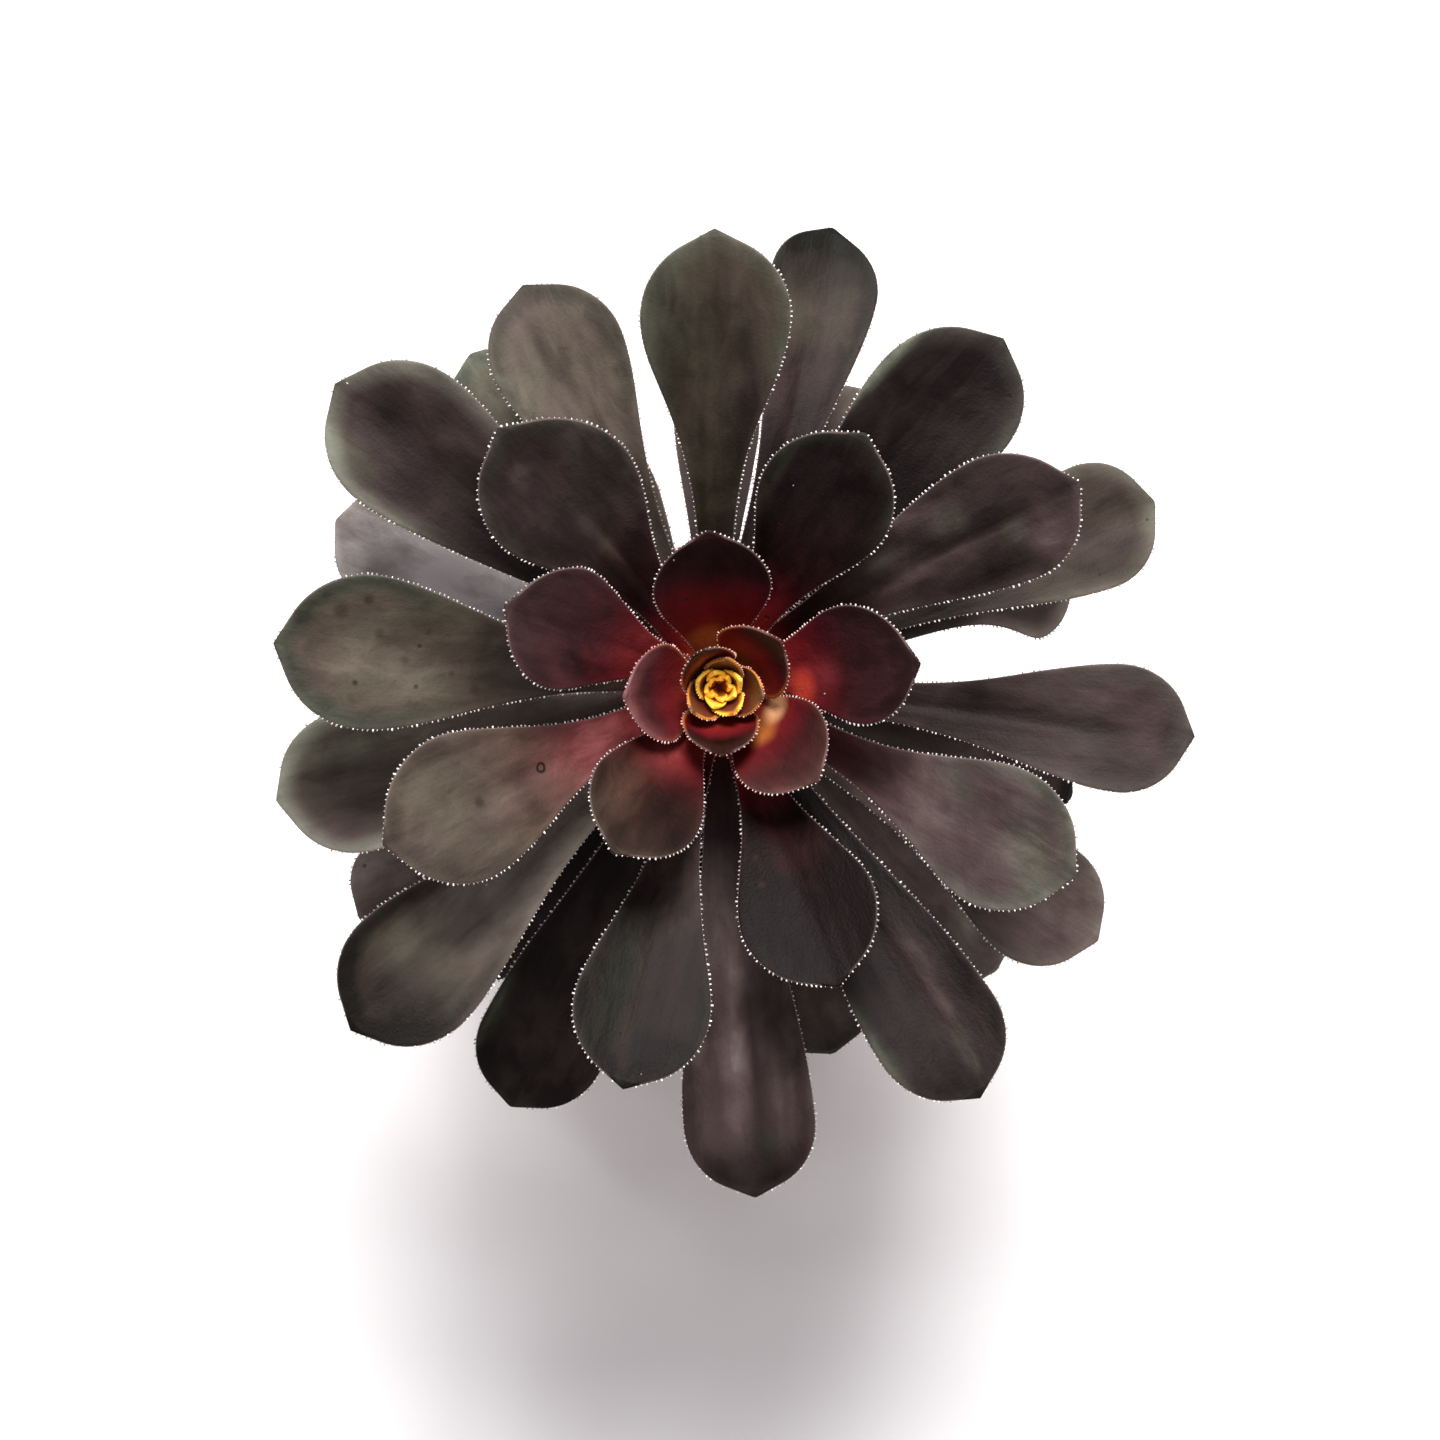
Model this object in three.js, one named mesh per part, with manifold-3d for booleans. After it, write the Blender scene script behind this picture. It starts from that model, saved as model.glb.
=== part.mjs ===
// A potted black aeonium: one rosette of spoon-shaped succulent leaves on a bare woody stem, which stands
// in soil in a plain clay pot. Millimetres, +Z up. The origin is the centre of the pot's flat base.
import * as THREE from 'three';
import { mergeVertices } from 'three/addons/utils/BufferGeometryUtils.js';
import Module from 'manifold-3d';

const wasm = await Module();
wasm.setup();

// ---- Driving dimensions ----
const seat = 0.3; // running gap between pieces that touch
const pot = { height: 80, rim: 45, foot: 31, wall: 4.5, floor: 6, sides: 48 };
const band = { height: 19, step: 3.5, draft: 1 }; // the thick band round the pot's mouth
const rounding = { foot: 0.8, band: 1, lip: 1.6, mouth: 1, floor: 1 }; // the pot's softened edges
const drain = { count: 3, radius: 4.5, ring: 16, sides: 16 };
const soil = { surface: 72, mound: 2.5, lump: 0.8, foot: 24.5, rings: 5, sides: 32 };
const apex = new THREE.Vector3(0, 2, 190); // the growing tip, where the rosette's own frame stands
const axis = new THREE.Vector3(0.035, -0.156, 1).normalize(); // the rosette nods a little towards -Y
const foot = new THREE.Vector3(0, 0, 36); // the buried end of the stem
const stem = { tip: 2.2, woody: 7.2, stout: 8, neck: 50, taper: 0.6, filling: 60, sides: 20, rows: 46 };
const bend = { back: new THREE.Vector3(-1, 4, 72), forward: 34 }; // how the bare stem leans and then nods
const scar = { first: 52, pitch: 1.5, halfWide: 3.6, halfTall: 2.3, depth: 0.6 };
const spiral = { turn: 137.5, start: 130 }; // degrees from each leaf to the next older one, and of leaf 1
const node = { first: 2.8, spacing: 0.98, crowding: 0.0035 }; // how far below the tip the leaves are borne
const youth = 5; // leaves along the spiral over which a young leaf's shape gives way to an old one's
const old = { base: 6, arch: 22, flesh: 2.9, flare: 1.25 }; // base width, bend in degrees, thickness, flare
const young = { base: 4, arch: -14, flesh: 1 };
const blade = { edge: 0.7, point: 1.4, sink: 1.5, tail: 1.4, round: 1.05, thinning: 0.45, steps: 16 };
const trough = { base: 0.16, tip: 0.1 }; // how deep the blade is hollowed, as shares of its half width
const core = { radius: 2, height: 3, sides: 16, rings: 8 };
const crown = { leaves: 7, shrink: 0.82, rise: 81, spread: 12, out: 1.2, down: 0.2 };
const crownLeaf = { length: 14, stub: 4, half: 5, narrow: 0.5, flesh: 0.8, arch: -16 };

// The leaves, from the youngest that stands free of the crown to the oldest: how far each one sways off the
// spiral, how long and how wide its blade is, how steeply it rises above level, and how far it rolls about
// its own length; then, where it isn't like the rest, how slim it stays towards the base (its flare), and how
// far it bows sideways on the way to the tip. Degrees and millimetres.
const leafRows = [
  [-6, 24, 13, 74, 0], [2, 26, 15, 68, 0], [-4, 28, 16.5, 65, 0], [1, 32, 18, 61, 0],
  [-3, 37.7, 19, 56.5, 0], [-2, 41.8, 21, 51, 0], [0, 51, 21.5, 52, 0, 1.5],
  [-3.5, 51, 21.5, 51, 0, 1.6, 1.5], [8, 56.5, 22, 47, 0, 1.8], [4, 66, 25, 37, 4, 2],
  [-3.5, 63, 24.5, 39, -4, 1.9], [1.5, 75, 26.5, 34, 0, 1.9], [-7.5, 77, 26, 28, 5, 2.3],
  [13, 70.5, 28, 35, -4, 2, -1.5], [1, 80, 24.5, 30, 0, 2.2, -0.3], [-2, 80, 24, 29, 6, 1.6, 2],
  [4, 84.5, 27.5, 25, 0, 1.7], [-5, 90, 24, 20, -4], [6, 86, 27, 24, 0, 2.4], [0.5, 92, 26, 17, 4, 2],
  [-6, 87.5, 23.5, 15, -3, 2.1], [4.4, 87.5, 28, 12, 0, 1.4], [-0.6, 94, 24.5, 10, 3],
  [-2, 81, 28, 12, 5, 1.25, 1.5], [5.2, 82, 27, 6, -4], [-1.6, 84.5, 24, 5, 0, 2.6],
  [11, 79, 25.5, 3, 4, 1.9], [2.2, 87, 24.5, 0, 0], [1.8, 88, 24.5, -3, -3, 1.8], [0, 75, 24, -6, 4],
  [-7, 75, 23.5, -9, 0], [2.6, 86.3, 21.5, -6, 5, 1.9, -1.8], [5, 82, 22.5, -12, 0], [-6, 74, 22, -14, -5],
  [2, 77, 22, -15, 0], [0, 72, 22, -18, 0], [-3, 70, 22, -20, 3], [0, 74, 22, -21, 0],
  [-1, 84, 21, -18, -3], [-4, 60, 17, -25, 0], [0, 80, 18, -21, 0], [7, 78, 20, -22, 15, 6],
  [0, 70, 19, -29, 0], [-4, 70, 19, -33, 0], [1, 69, 18, -29, 0], [0, 68, 18, -33, 4], [0, 66, 18, -34, 0],
  [5, 54, 17, -38, 0],
];

const ink = new THREE.Color(0x382c2e);
const crimson = new THREE.Color(0x8a1a24);
const gold = new THREE.Color(0xd8aa38);
const bark = new THREE.Color(0x7d6a58);
const loam = new THREE.Color(0x3a2a20);
const clay = new THREE.Color(0xb5653f);

const radians = THREE.MathUtils.degToRad;
const ease = (x) => THREE.MathUtils.smoothstep(x, 0, 1);
const up = new THREE.Vector3(0, 0, 1);

// ---- Meshes and solids ----

// The closed solid inside a three.js geometry.
function solidOf(geometry) {
  const bare = geometry.clone();
  bare.deleteAttribute('normal');
  bare.deleteAttribute('uv');
  const merged = mergeVertices(bare, 1e-4);
  return new wasm.Manifold(new wasm.Mesh({
    numProp: 3,
    vertProperties: new Float32Array(merged.attributes.position.array),
    triVerts: new Uint32Array(merged.index.array),
  }));
}

function pieceOf(name, solid, color, roughness) {
  const mesh = solid.getMesh();
  const geometry = new THREE.BufferGeometry();
  geometry.setAttribute('position', new THREE.BufferAttribute(new Float32Array(mesh.vertProperties), 3));
  geometry.setIndex(new THREE.BufferAttribute(new Uint32Array(mesh.triVerts), 1));
  geometry.computeVertexNormals();
  const piece = new THREE.Mesh(geometry, new THREE.MeshStandardMaterial({ color, roughness, metalness: 0 }));
  piece.name = name;
  return piece;
}

// Moves every point of a geometry to where place(point, index) says.
function reshape(geometry, place) {
  const position = geometry.attributes.position;
  const point = new THREE.Vector3();
  for (let i = 0; i < position.count; i++) {
    const moved = place(point.fromBufferAttribute(position, i), i);
    position.setXYZ(i, moved.x, moved.y, moved.z);
  }
  return geometry;
}

// ---- Stem ----

// The bare stem leans back out of the soil and nods forward again; under the rosette it is straight.
const neck = apex.clone().addScaledVector(axis, -stem.neck);
const stemLine = new THREE.CurvePath();
const nod = neck.clone().addScaledVector(axis, -bend.forward);
stemLine.add(new THREE.CubicBezierCurve3(foot, bend.back, nod, neck));
stemLine.add(new THREE.LineCurve3(neck, apex));

// Thick and woody below, drawn in towards the growing tip.
function stemRadius(below) {
  const drawn = Math.pow(Math.max(below, 0) / stem.neck, stem.taper);
  if (below < stem.neck) return THREE.MathUtils.lerp(stem.tip, stem.woody, drawn);
  return THREE.MathUtils.lerp(stem.woody, stem.stout, ease((below - stem.neck) / stem.filling));
}

// Scars of shed leaves: shallow lens-shaped marks, on the spiral that the leaves carry on.
function scarDepth(angle, below) {
  const nearest = Math.round((below - scar.first) / scar.pitch);
  let depth = 0;
  for (let k = Math.max(nearest - 2, 0); k <= nearest + 2; k++) {
    const away = angle - radians(spiral.turn * k);
    const across = (Math.atan2(Math.sin(away), Math.cos(away)) * stem.woody) / scar.halfWide;
    const along = (below - scar.first - k * scar.pitch) / scar.halfTall;
    depth = Math.max(depth, scar.depth * (1 - across * across - along * along));
  }
  return depth;
}

// The stem's skin, or the skin grown outwards all round, without its scars.
function stemGeometry(grow = 0) {
  const length = stemLine.getLength();
  const column = new THREE.CylinderGeometry(1, 1, 1, stem.sides, stem.rows).rotateX(Math.PI / 2);
  return reshape(column, (point) => {
    const share = THREE.MathUtils.clamp(point.z + 0.5, 0, 1);
    const below = length * (1 - share);
    const angle = Math.atan2(point.y, point.x);
    const cut = grow > 0 ? -grow : scarDepth(angle, below);
    const radius = (stemRadius(below) - cut) * Math.min(Math.hypot(point.x, point.y), 1);
    const end = grow * (Number(share > 0.999) - Number(share < 0.001));
    const turned = new THREE.Quaternion().setFromUnitVectors(up, stemLine.getTangentAt(share));
    const rim = new THREE.Vector3(radius * Math.cos(angle), radius * Math.sin(angle), end);
    return stemLine.getPointAt(share).add(rim.applyQuaternion(turned));
  });
}

// ---- Leaves ----

// A leaf's own sizes and place in the rosette's frame, from its row and its age along the spiral.
function leafOf([sway, length, width, rise, roll, flare = old.flare, bow = 0], age) {
  const below = node.first + node.spacing * age - node.crowding * age * age;
  const wrap = Math.exp(-age / youth); // young blades curl round the axis
  const grown = (key) => THREE.MathUtils.lerp(old[key], young[key], wrap);
  return {
    length,
    half: width / 2,
    narrow: grown('base') / width,
    azimuth: radians(spiral.start + spiral.turn * age + sway),
    root: new THREE.Vector2(stemRadius(below) - blade.sink, -below),
    rise: radians(rise),
    arch: radians(grown('arch')), // old blades bend down towards the tip, young ones up round the bud
    roll: radians(roll),
    flare,
    bow,
    wrap,
    flesh: grown('flesh'),
  };
}

// Where along the length the blade is widest: the end beyond it is round, with a small point.
function widest(leaf) {
  return 1 - (leaf.half * blade.round + blade.point) / leaf.length;
}

// How far the round end would reach on its own, and the share of that where its sides leave it for the point.
function roundEnd(leaf) {
  const full = widest(leaf);
  const reach = 1 - blade.point / leaf.length - full;
  return { reach, touch: reach / (1 - full) };
}

// Half the width at a share t of the length: a narrow base, a long flare, the round end, straight to the point.
function halfWidth(leaf, t) {
  const full = widest(leaf);
  const flare = ease(Math.pow(Math.max(t, 0) / full, leaf.flare));
  if (t <= full) return leaf.half * (leaf.narrow + (1 - leaf.narrow) * flare);
  const { reach, touch } = roundEnd(leaf);
  const round = Math.min((t - full) / reach, 1 / touch);
  if (round <= touch) return leaf.half * Math.sqrt(1 - round * round);
  return (leaf.half * (1 - round * touch)) / Math.sqrt(1 - touch * touch);
}

// The midline lies in the leaf's upright plane: distance from the axis, height and slope at a share t.
function midline(leaf, t) {
  const spot = leaf.root.clone();
  const step = (leaf.length * t) / blade.steps;
  for (let k = 0; k < blade.steps; k++) {
    const slope = leaf.rise + leaf.arch * (0.5 - (t * (k + 0.5)) / blade.steps);
    spot.x += step * Math.cos(slope);
    spot.y += step * Math.sin(slope);
  }
  return { out: spot.x, high: spot.y, slope: leaf.rise + leaf.arch * (0.5 - t) };
}

// A point of the blade: t along it, s across it from -1 to 1, face 1 above and -1 below.
function bladePoint(leaf, t, s, face) {
  const { out, high, slope } = midline(leaf, t);
  const half = halfWidth(leaf, t);
  const flesh = leaf.flesh * (1 - blade.thinning * t * t) * Math.min(1, 0.3 + half / 4);
  const skin = (face / 2) * (blade.edge + Math.max(flesh - blade.edge, 0) * (1 - s * s));
  const depth = half * (1 - leaf.wrap) * THREE.MathUtils.lerp(trough.base, trough.tip, t);
  const hollow = depth * (Math.abs(s) + s * s);
  const twist = leaf.roll * ease(t * 1.6);
  const above = (hollow + skin) * Math.cos(twist) + s * half * Math.sin(twist);
  const across = s * half * Math.cos(twist) - (hollow + skin) * Math.sin(twist) + leaf.bow * 4 * t * (1 - t);
  const curl = Math.max(out, 2) / leaf.wrap;
  const ahead = out - curl * (1 - Math.cos(across / curl)) - Math.sin(slope) * above;
  const flat = new THREE.Vector2(ahead, curl * Math.sin(across / curl));
  flat.rotateAround(new THREE.Vector2(), leaf.azimuth);
  return new THREE.Vector3(flat.x, flat.y, high + Math.cos(slope) * above);
}

// Each ring's points, round the section: across the lower face one way and the upper face back.
const spread = [-1, -0.5, 0, 0.5, 1];
const section = [...spread.map((s) => [s, -1]), ...spread.toReversed().map((s) => [s, 1])];
const turns = [1, 0.72, 0.38, 0]; // how far round the end there is a ring, as shares of the turn to its straight
const shaft = [0.83, 0.63, 0.42, 0.2, 0]; // and where the flare has one, as shares of its length

// A ball of rings drawn out along the leaf, from its point to just inside the stem.
function leafGeometry(leaf) {
  const full = widest(leaf);
  const { reach, touch } = roundEnd(leaf);
  const end = turns.map((turn) => full + reach * Math.sin(turn * Math.asin(touch)));
  const rings = [1, ...end, ...shaft.map((share) => share * full), -blade.tail / leaf.length];
  const around = section.length + 1;
  const ball = new THREE.SphereGeometry(1, section.length, rings.length - 1);
  return reshape(ball, (point, i) => {
    const ring = Math.floor(i / around);
    const pole = ring === 0 || ring === rings.length - 1;
    const [s, face] = pole ? [0, 0] : section[(i % around) % section.length];
    return bladePoint(leaf, rings[ring], s, face);
  });
}

// Crimson next to the bud, near black outside.
function leafColor(age) {
  return crimson.clone().lerp(ink, Math.min(1, 0.2 + age / 9));
}

// ---- Crown ----

// The unopened leaves at the growing tip, each smaller and steeper than the one outside it, on a small core.
function crownSolid() {
  const ball = new THREE.SphereGeometry(1, core.sides, core.rings);
  let solid = solidOf(ball.scale(core.radius, core.radius, core.height));
  for (let k = 1; k <= crown.leaves; k++) {
    const size = Math.pow(crown.shrink, k - 1);
    const leaf = {
      length: crownLeaf.stub + crownLeaf.length * size,
      half: crownLeaf.half * size,
      narrow: crownLeaf.narrow,
      azimuth: radians(spiral.start - spiral.turn * k),
      root: new THREE.Vector2(crown.out * size, -crown.down),
      rise: radians(crown.rise - crown.spread * size),
      arch: radians(crownLeaf.arch),
      roll: 0,
      flare: old.flare,
      bow: 0,
      wrap: 1,
      flesh: crownLeaf.flesh,
    };
    solid = solid.add(solidOf(leafGeometry(leaf)));
  }
  return solid;
}

// ---- Pot and soil ----

const inside = { foot: pot.foot - pot.wall, mouth: pot.rim - pot.wall }; // the cavity's radii, floor to rim

function cavityRadius(z) {
  return THREE.MathUtils.mapLinear(z, pot.floor, pot.height, inside.foot, inside.mouth);
}

// A tapered pot with a thick band round its mouth and a few drain holes.
function potSolid() {
  const bandFoot = pot.height - band.height;
  const bandRadius = pot.rim - band.draft;
  const profile = [
    [0, 0],
    [pot.foot - rounding.foot, 0],
    [pot.foot, rounding.foot],
    [pot.rim - band.step, bandFoot],
    [bandRadius - 0.6 * rounding.band, bandFoot + 0.6 * rounding.band],
    [bandRadius, bandFoot + 1.6 * rounding.band],
    [pot.rim, pot.height - rounding.lip],
    [pot.rim - 0.75 * rounding.lip, pot.height],
    [inside.mouth + rounding.mouth, pot.height],
    [inside.mouth, pot.height - rounding.mouth],
    [inside.foot + rounding.floor, pot.floor + rounding.floor],
    [inside.foot - rounding.floor, pot.floor],
    [0, pot.floor],
  ].map(([r, z]) => new THREE.Vector2(r, z));
  let solid = solidOf(new THREE.LatheGeometry(profile, pot.sides).rotateX(Math.PI / 2));
  for (let k = 0; k < drain.count; k++) {
    const angle = (2 * Math.PI * k) / drain.count;
    const hole = new THREE.CylinderGeometry(drain.radius, drain.radius, pot.floor * 3, drain.sides);
    hole.rotateX(Math.PI / 2).translate(drain.ring * Math.cos(angle), drain.ring * Math.sin(angle), 0);
    solid = solid.subtract(solidOf(hole));
  }
  return solid;
}

// Low lumps all over the soil, from -1.6 to 1.6.
function lumps(x, y) {
  return Math.sin(x * 0.42) * Math.cos(y * 0.37) + 0.6 * Math.sin(x * 0.9 + y * 0.7);
}

// The soil fills the pot to a little below its rim, with a low uneven mound and a plain hole for the stem.
function soilSolid(hole) {
  const bottom = pot.floor + seat;
  const edge = cavityRadius(soil.surface) - seat * 2;
  const profile = [new THREE.Vector2(0, bottom), new THREE.Vector2(soil.foot, bottom)];
  for (let k = soil.rings; k >= 0; k--) {
    profile.push(new THREE.Vector2((edge * k) / soil.rings, soil.surface));
  }
  const body = new THREE.LatheGeometry(profile, soil.sides).rotateX(Math.PI / 2);
  reshape(body, (point) => {
    if (point.z <= bottom) return point;
    const share = Math.hypot(point.x, point.y) / edge;
    const lump = soil.lump * lumps(point.x, point.y) * (1 - share ** 6);
    return point.clone().setZ(point.z + soil.mound * (1 - share * share) + lump);
  });
  return solidOf(body).subtract(hole);
}

// ---- The plant in its pot ----
const rosette = new THREE.Group();
rosette.position.copy(apex);
rosette.quaternion.setFromUnitVectors(up, axis);
rosette.updateMatrixWorld();

// The stem grown by the running gap cuts the leaf bases, in the rosette's frame, and the hole in the soil.
const grownStem = stemGeometry(seat);
const hole = solidOf(grownStem);
const leafSeat = solidOf(grownStem.clone().applyMatrix4(rosette.matrixWorld.clone().invert()));

leafRows.forEach((row, age) => {
  const solid = solidOf(leafGeometry(leafOf(row, age))).subtract(leafSeat);
  rosette.add(pieceOf(`leaf_${String(age + 1).padStart(2, '0')}`, solid, leafColor(age), 0.45));
});
rosette.add(pieceOf('crown', crownSolid().subtract(leafSeat), gold, 0.5));

const aeonium = new THREE.Group();
aeonium.add(
  rosette,
  pieceOf('stem', solidOf(stemGeometry()), bark, 0.9),
  pieceOf('soil', soilSolid(hole), loam, 1),
  pieceOf('pot', potSolid(), clay, 0.85),
);

export default aeonium;
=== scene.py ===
import math
import random
from types import SimpleNamespace

import bmesh
import bpy
from mathutils import Matrix, Quaternion, Vector, geometry, noise


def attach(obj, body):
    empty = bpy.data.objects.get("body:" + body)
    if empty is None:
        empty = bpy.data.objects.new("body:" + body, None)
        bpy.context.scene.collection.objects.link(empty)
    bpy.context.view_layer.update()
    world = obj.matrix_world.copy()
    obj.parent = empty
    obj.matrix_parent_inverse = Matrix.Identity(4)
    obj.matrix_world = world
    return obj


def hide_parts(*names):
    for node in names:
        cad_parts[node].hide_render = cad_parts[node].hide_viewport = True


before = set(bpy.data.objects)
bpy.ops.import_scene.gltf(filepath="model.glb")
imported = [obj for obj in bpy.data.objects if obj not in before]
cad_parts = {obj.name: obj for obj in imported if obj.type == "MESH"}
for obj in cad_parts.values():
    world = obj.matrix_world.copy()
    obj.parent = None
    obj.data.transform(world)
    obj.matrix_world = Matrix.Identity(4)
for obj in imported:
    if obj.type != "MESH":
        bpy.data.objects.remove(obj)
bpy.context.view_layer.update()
scene = bpy.context.scene
mm = 0.001
up = Vector((0, 0, 1))


# Small sums

def lerp(a, b, share):
    return a + (b - a) * share


def ease(x, low=0.0, high=1.0):
    x = min(max((x - low) / (high - low), 0), 1)
    return x * x * (3 - 2 * x)


def bell(x, width):
    return math.exp(-(x / width) ** 2)


def ripple(x, y, z):
    return noise.noise(Vector((x, y, z)))


def onRing(radius, angle, high=0.0):
    return Vector((radius * math.cos(angle), radius * math.sin(angle), high))


# Shader sums: a socket that takes part in Python expressions, and the board of nodes it belongs to

def bothWays(operation):
    # An operator of two values, and its reflected form
    return (lambda a, b: a.board.sum(operation, a, b)), (lambda a, b: a.board.sum(operation, b, a))


class Wire:
    __add__, __radd__ = bothWays("ADD")
    __sub__, __rsub__ = bothWays("SUBTRACT")
    __mul__, __rmul__ = bothWays("MULTIPLY")
    __truediv__, __rtruediv__ = bothWays("DIVIDE")

    def __init__(self, board, socket):
        self.board, self.socket = board, socket

    def __abs__(self):
        return self.board.sum("ABSOLUTE", self)


class Board:
    inputNames = {
        "color": "Base Color", "roughness": "Roughness", "normal": "Normal", "glow": "Emission Color"}

    def __init__(self, name, gloss, glow=0.0):
        self.material = bpy.data.materials.new(name)
        self.material.use_nodes = True
        self.tree = self.material.node_tree
        self.skin = self.tree.nodes["Principled BSDF"]
        self.skin.inputs["Specular IOR Level"].default_value = gloss
        self.skin.inputs["Emission Strength"].default_value = glow

    def add(self, kind, settings, sockets, out=0):
        # Any node: its settings first, then the values or links of its sockets
        node = self.tree.nodes.new(kind)
        for key, value in settings.items():
            if key == "stops":
                while len(node.color_ramp.elements) < len(value):
                    node.color_ramp.elements.new(1)
                for element, (place, color) in zip(node.color_ramp.elements, value):
                    element.position, element.color = place, (*color, 1)
            else:
                setattr(node, key, value)
        for key, value in sockets.items():
            if isinstance(value, Wire):
                self.tree.links.new(value.socket, node.inputs[key])
            else:
                node.inputs[key].default_value = value
        return Wire(self, node.outputs[out])

    def sum(self, operation, *values):
        return self.add("ShaderNodeMath", {"operation": operation}, dict(enumerate(values)))

    def feed(self, **inputs):
        for key, value in inputs.items():
            self.tree.links.new(value.socket, self.skin.inputs[self.inputNames[key]])
        return self.material

    def place(self):  # metres, in the object's own frame
        return self.add("ShaderNodeTexCoord", {}, {}, "Object")

    def vector(self, operation, a, b, out="Vector"):
        return self.add("ShaderNodeVectorMath", {"operation": operation}, {0: a, 1: b}, out)

    def stretch(self, vector, by):
        return self.vector("MULTIPLY", vector, by)

    def scaled(self, color, by):
        return self.add("ShaderNodeVectorMath", {"operation": "SCALE"}, {0: color, "Scale": by})

    def noise(self, vector, scale, detail=3.0, roughness=0.5, distortion=0.0):
        return self.add("ShaderNodeTexNoise", {}, {
            "Vector": vector, "Scale": scale, "Detail": detail, "Roughness": roughness,
            "Distortion": distortion})

    def grains(self, vector, table):  # one noise for each row
        return [self.noise(self.stretch(vector, by), *grain) for by, *grain in table.values()]

    def cells(self, vector, scale, out="Distance"):
        return self.add("ShaderNodeTexVoronoi", {}, {"Vector": vector, "Scale": scale}, out)

    def smooth(self, value, low, high, start=0.0, end=1.0):
        return self.add("ShaderNodeMapRange", {"interpolation_type": "SMOOTHSTEP"}, {
            "Value": value, "From Min": low, "From Max": high, "To Min": start, "To Max": end})

    def clip(self, value):
        return self.add("ShaderNodeClamp", {}, {"Value": value})

    def ramp(self, value, *stops):
        return self.add("ShaderNodeValToRGB", {"stops": stops}, {"Fac": value})

    def mix(self, share, a, b, blend="MIX"):
        a, b = (value if isinstance(value, Wire) else (*value, 1) for value in (a, b))
        settings = {"data_type": "RGBA", "blend_type": blend}
        return self.add("ShaderNodeMix", settings, {0: share, 6: a, 7: b}, 2)

    def parts(self, vector):
        node = self.add("ShaderNodeSeparateXYZ", {}, {0: vector}).socket.node
        return [Wire(self, output) for output in node.outputs]

    def attribute(self, name, out="Vector"):
        return self.add("ShaderNodeAttribute", {"attribute_name": name}, {}, out)

    def bump(self, height, strength, distance):
        return self.add("ShaderNodeBump", {}, {"Strength": strength, "Distance": distance, "Height": height})


# Mesh helpers

def ringedBall(bm, around, rings):
    # A closed ball of rings from the +Z pole down: each vertex with its ring and its angle round Z
    made = bmesh.ops.create_uvsphere(bm, u_segments=around, v_segments=rings, radius=1)["verts"]
    return [(v, round(math.acos(min(max(v.co.z, -1), 1)) / math.pi * rings), math.atan2(v.co.y, v.co.x))
            for v in made]


def addTo(bm, other):
    # Small repeated shapes are made in a mesh of their own, and join the piece here
    mesh = bpy.data.meshes.new("parts")
    other.to_mesh(mesh)
    other.free()
    bm.from_mesh(mesh)
    bpy.data.meshes.remove(mesh)


def meshObject(name, bm, *materials):
    mesh = bpy.data.meshes.new(name)
    bm.to_mesh(mesh)
    bm.free()
    for material in materials:
        mesh.materials.append(material)
    made = bpy.data.objects.new(name, mesh)
    scene.collection.objects.link(made)
    return made


def finishPiece(name, bm, materials, nodes):
    piece = meshObject(name, bm, *materials)
    piece.data.shade_smooth()
    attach(piece, "root")
    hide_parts(*nodes)
    return piece


# Stem line: millimetres, as in the solids

stem = {
    "foot": (0, 0, 36), "back": (-1, 4, 72), "forward": 34, "neck": 50, "curveSteps": 200,
    "tip": 2.2, "woody": 7.2, "stout": 8, "taper": 0.6, "filling": 60,
    "scarFirst": 52, "scarPitch": 1.5, "scarWide": 3.6, "scarTall": 2.3, "scarDepth": 0.6, "scarLip": 0.28,
    "unscarred": (0, 9, 9), "knots": 0.22, "knotPitch": (3, 0.16), "grain": 0.10, "grainPitch": (9, 0.5),
    "around": 84, "rings": 300,
}
rosette = {
    "apex": (0, 2, 190), "axis": (0.035, -0.156, 1), "turn": 137.5, "start": 130,
    "firstNode": 2.8, "spacing": 0.98, "crowding": 0.0035, "youth": 5, "youngLeaves": 5,
}
apex = Vector(rosette["apex"])
axis = Vector(rosette["axis"]).normalized()
toWorld = Matrix.Scale(mm, 4) @ Matrix.Translation(apex) @ up.rotation_difference(axis).to_matrix().to_4x4()


def stemRadius(below):
    if below < stem["neck"]:
        return lerp(stem["tip"], stem["woody"], (max(below, 0) / stem["neck"]) ** stem["taper"])
    return lerp(stem["woody"], stem["stout"], ease((below - stem["neck"]) / stem["filling"]))


# Leaves: youngest first

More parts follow.
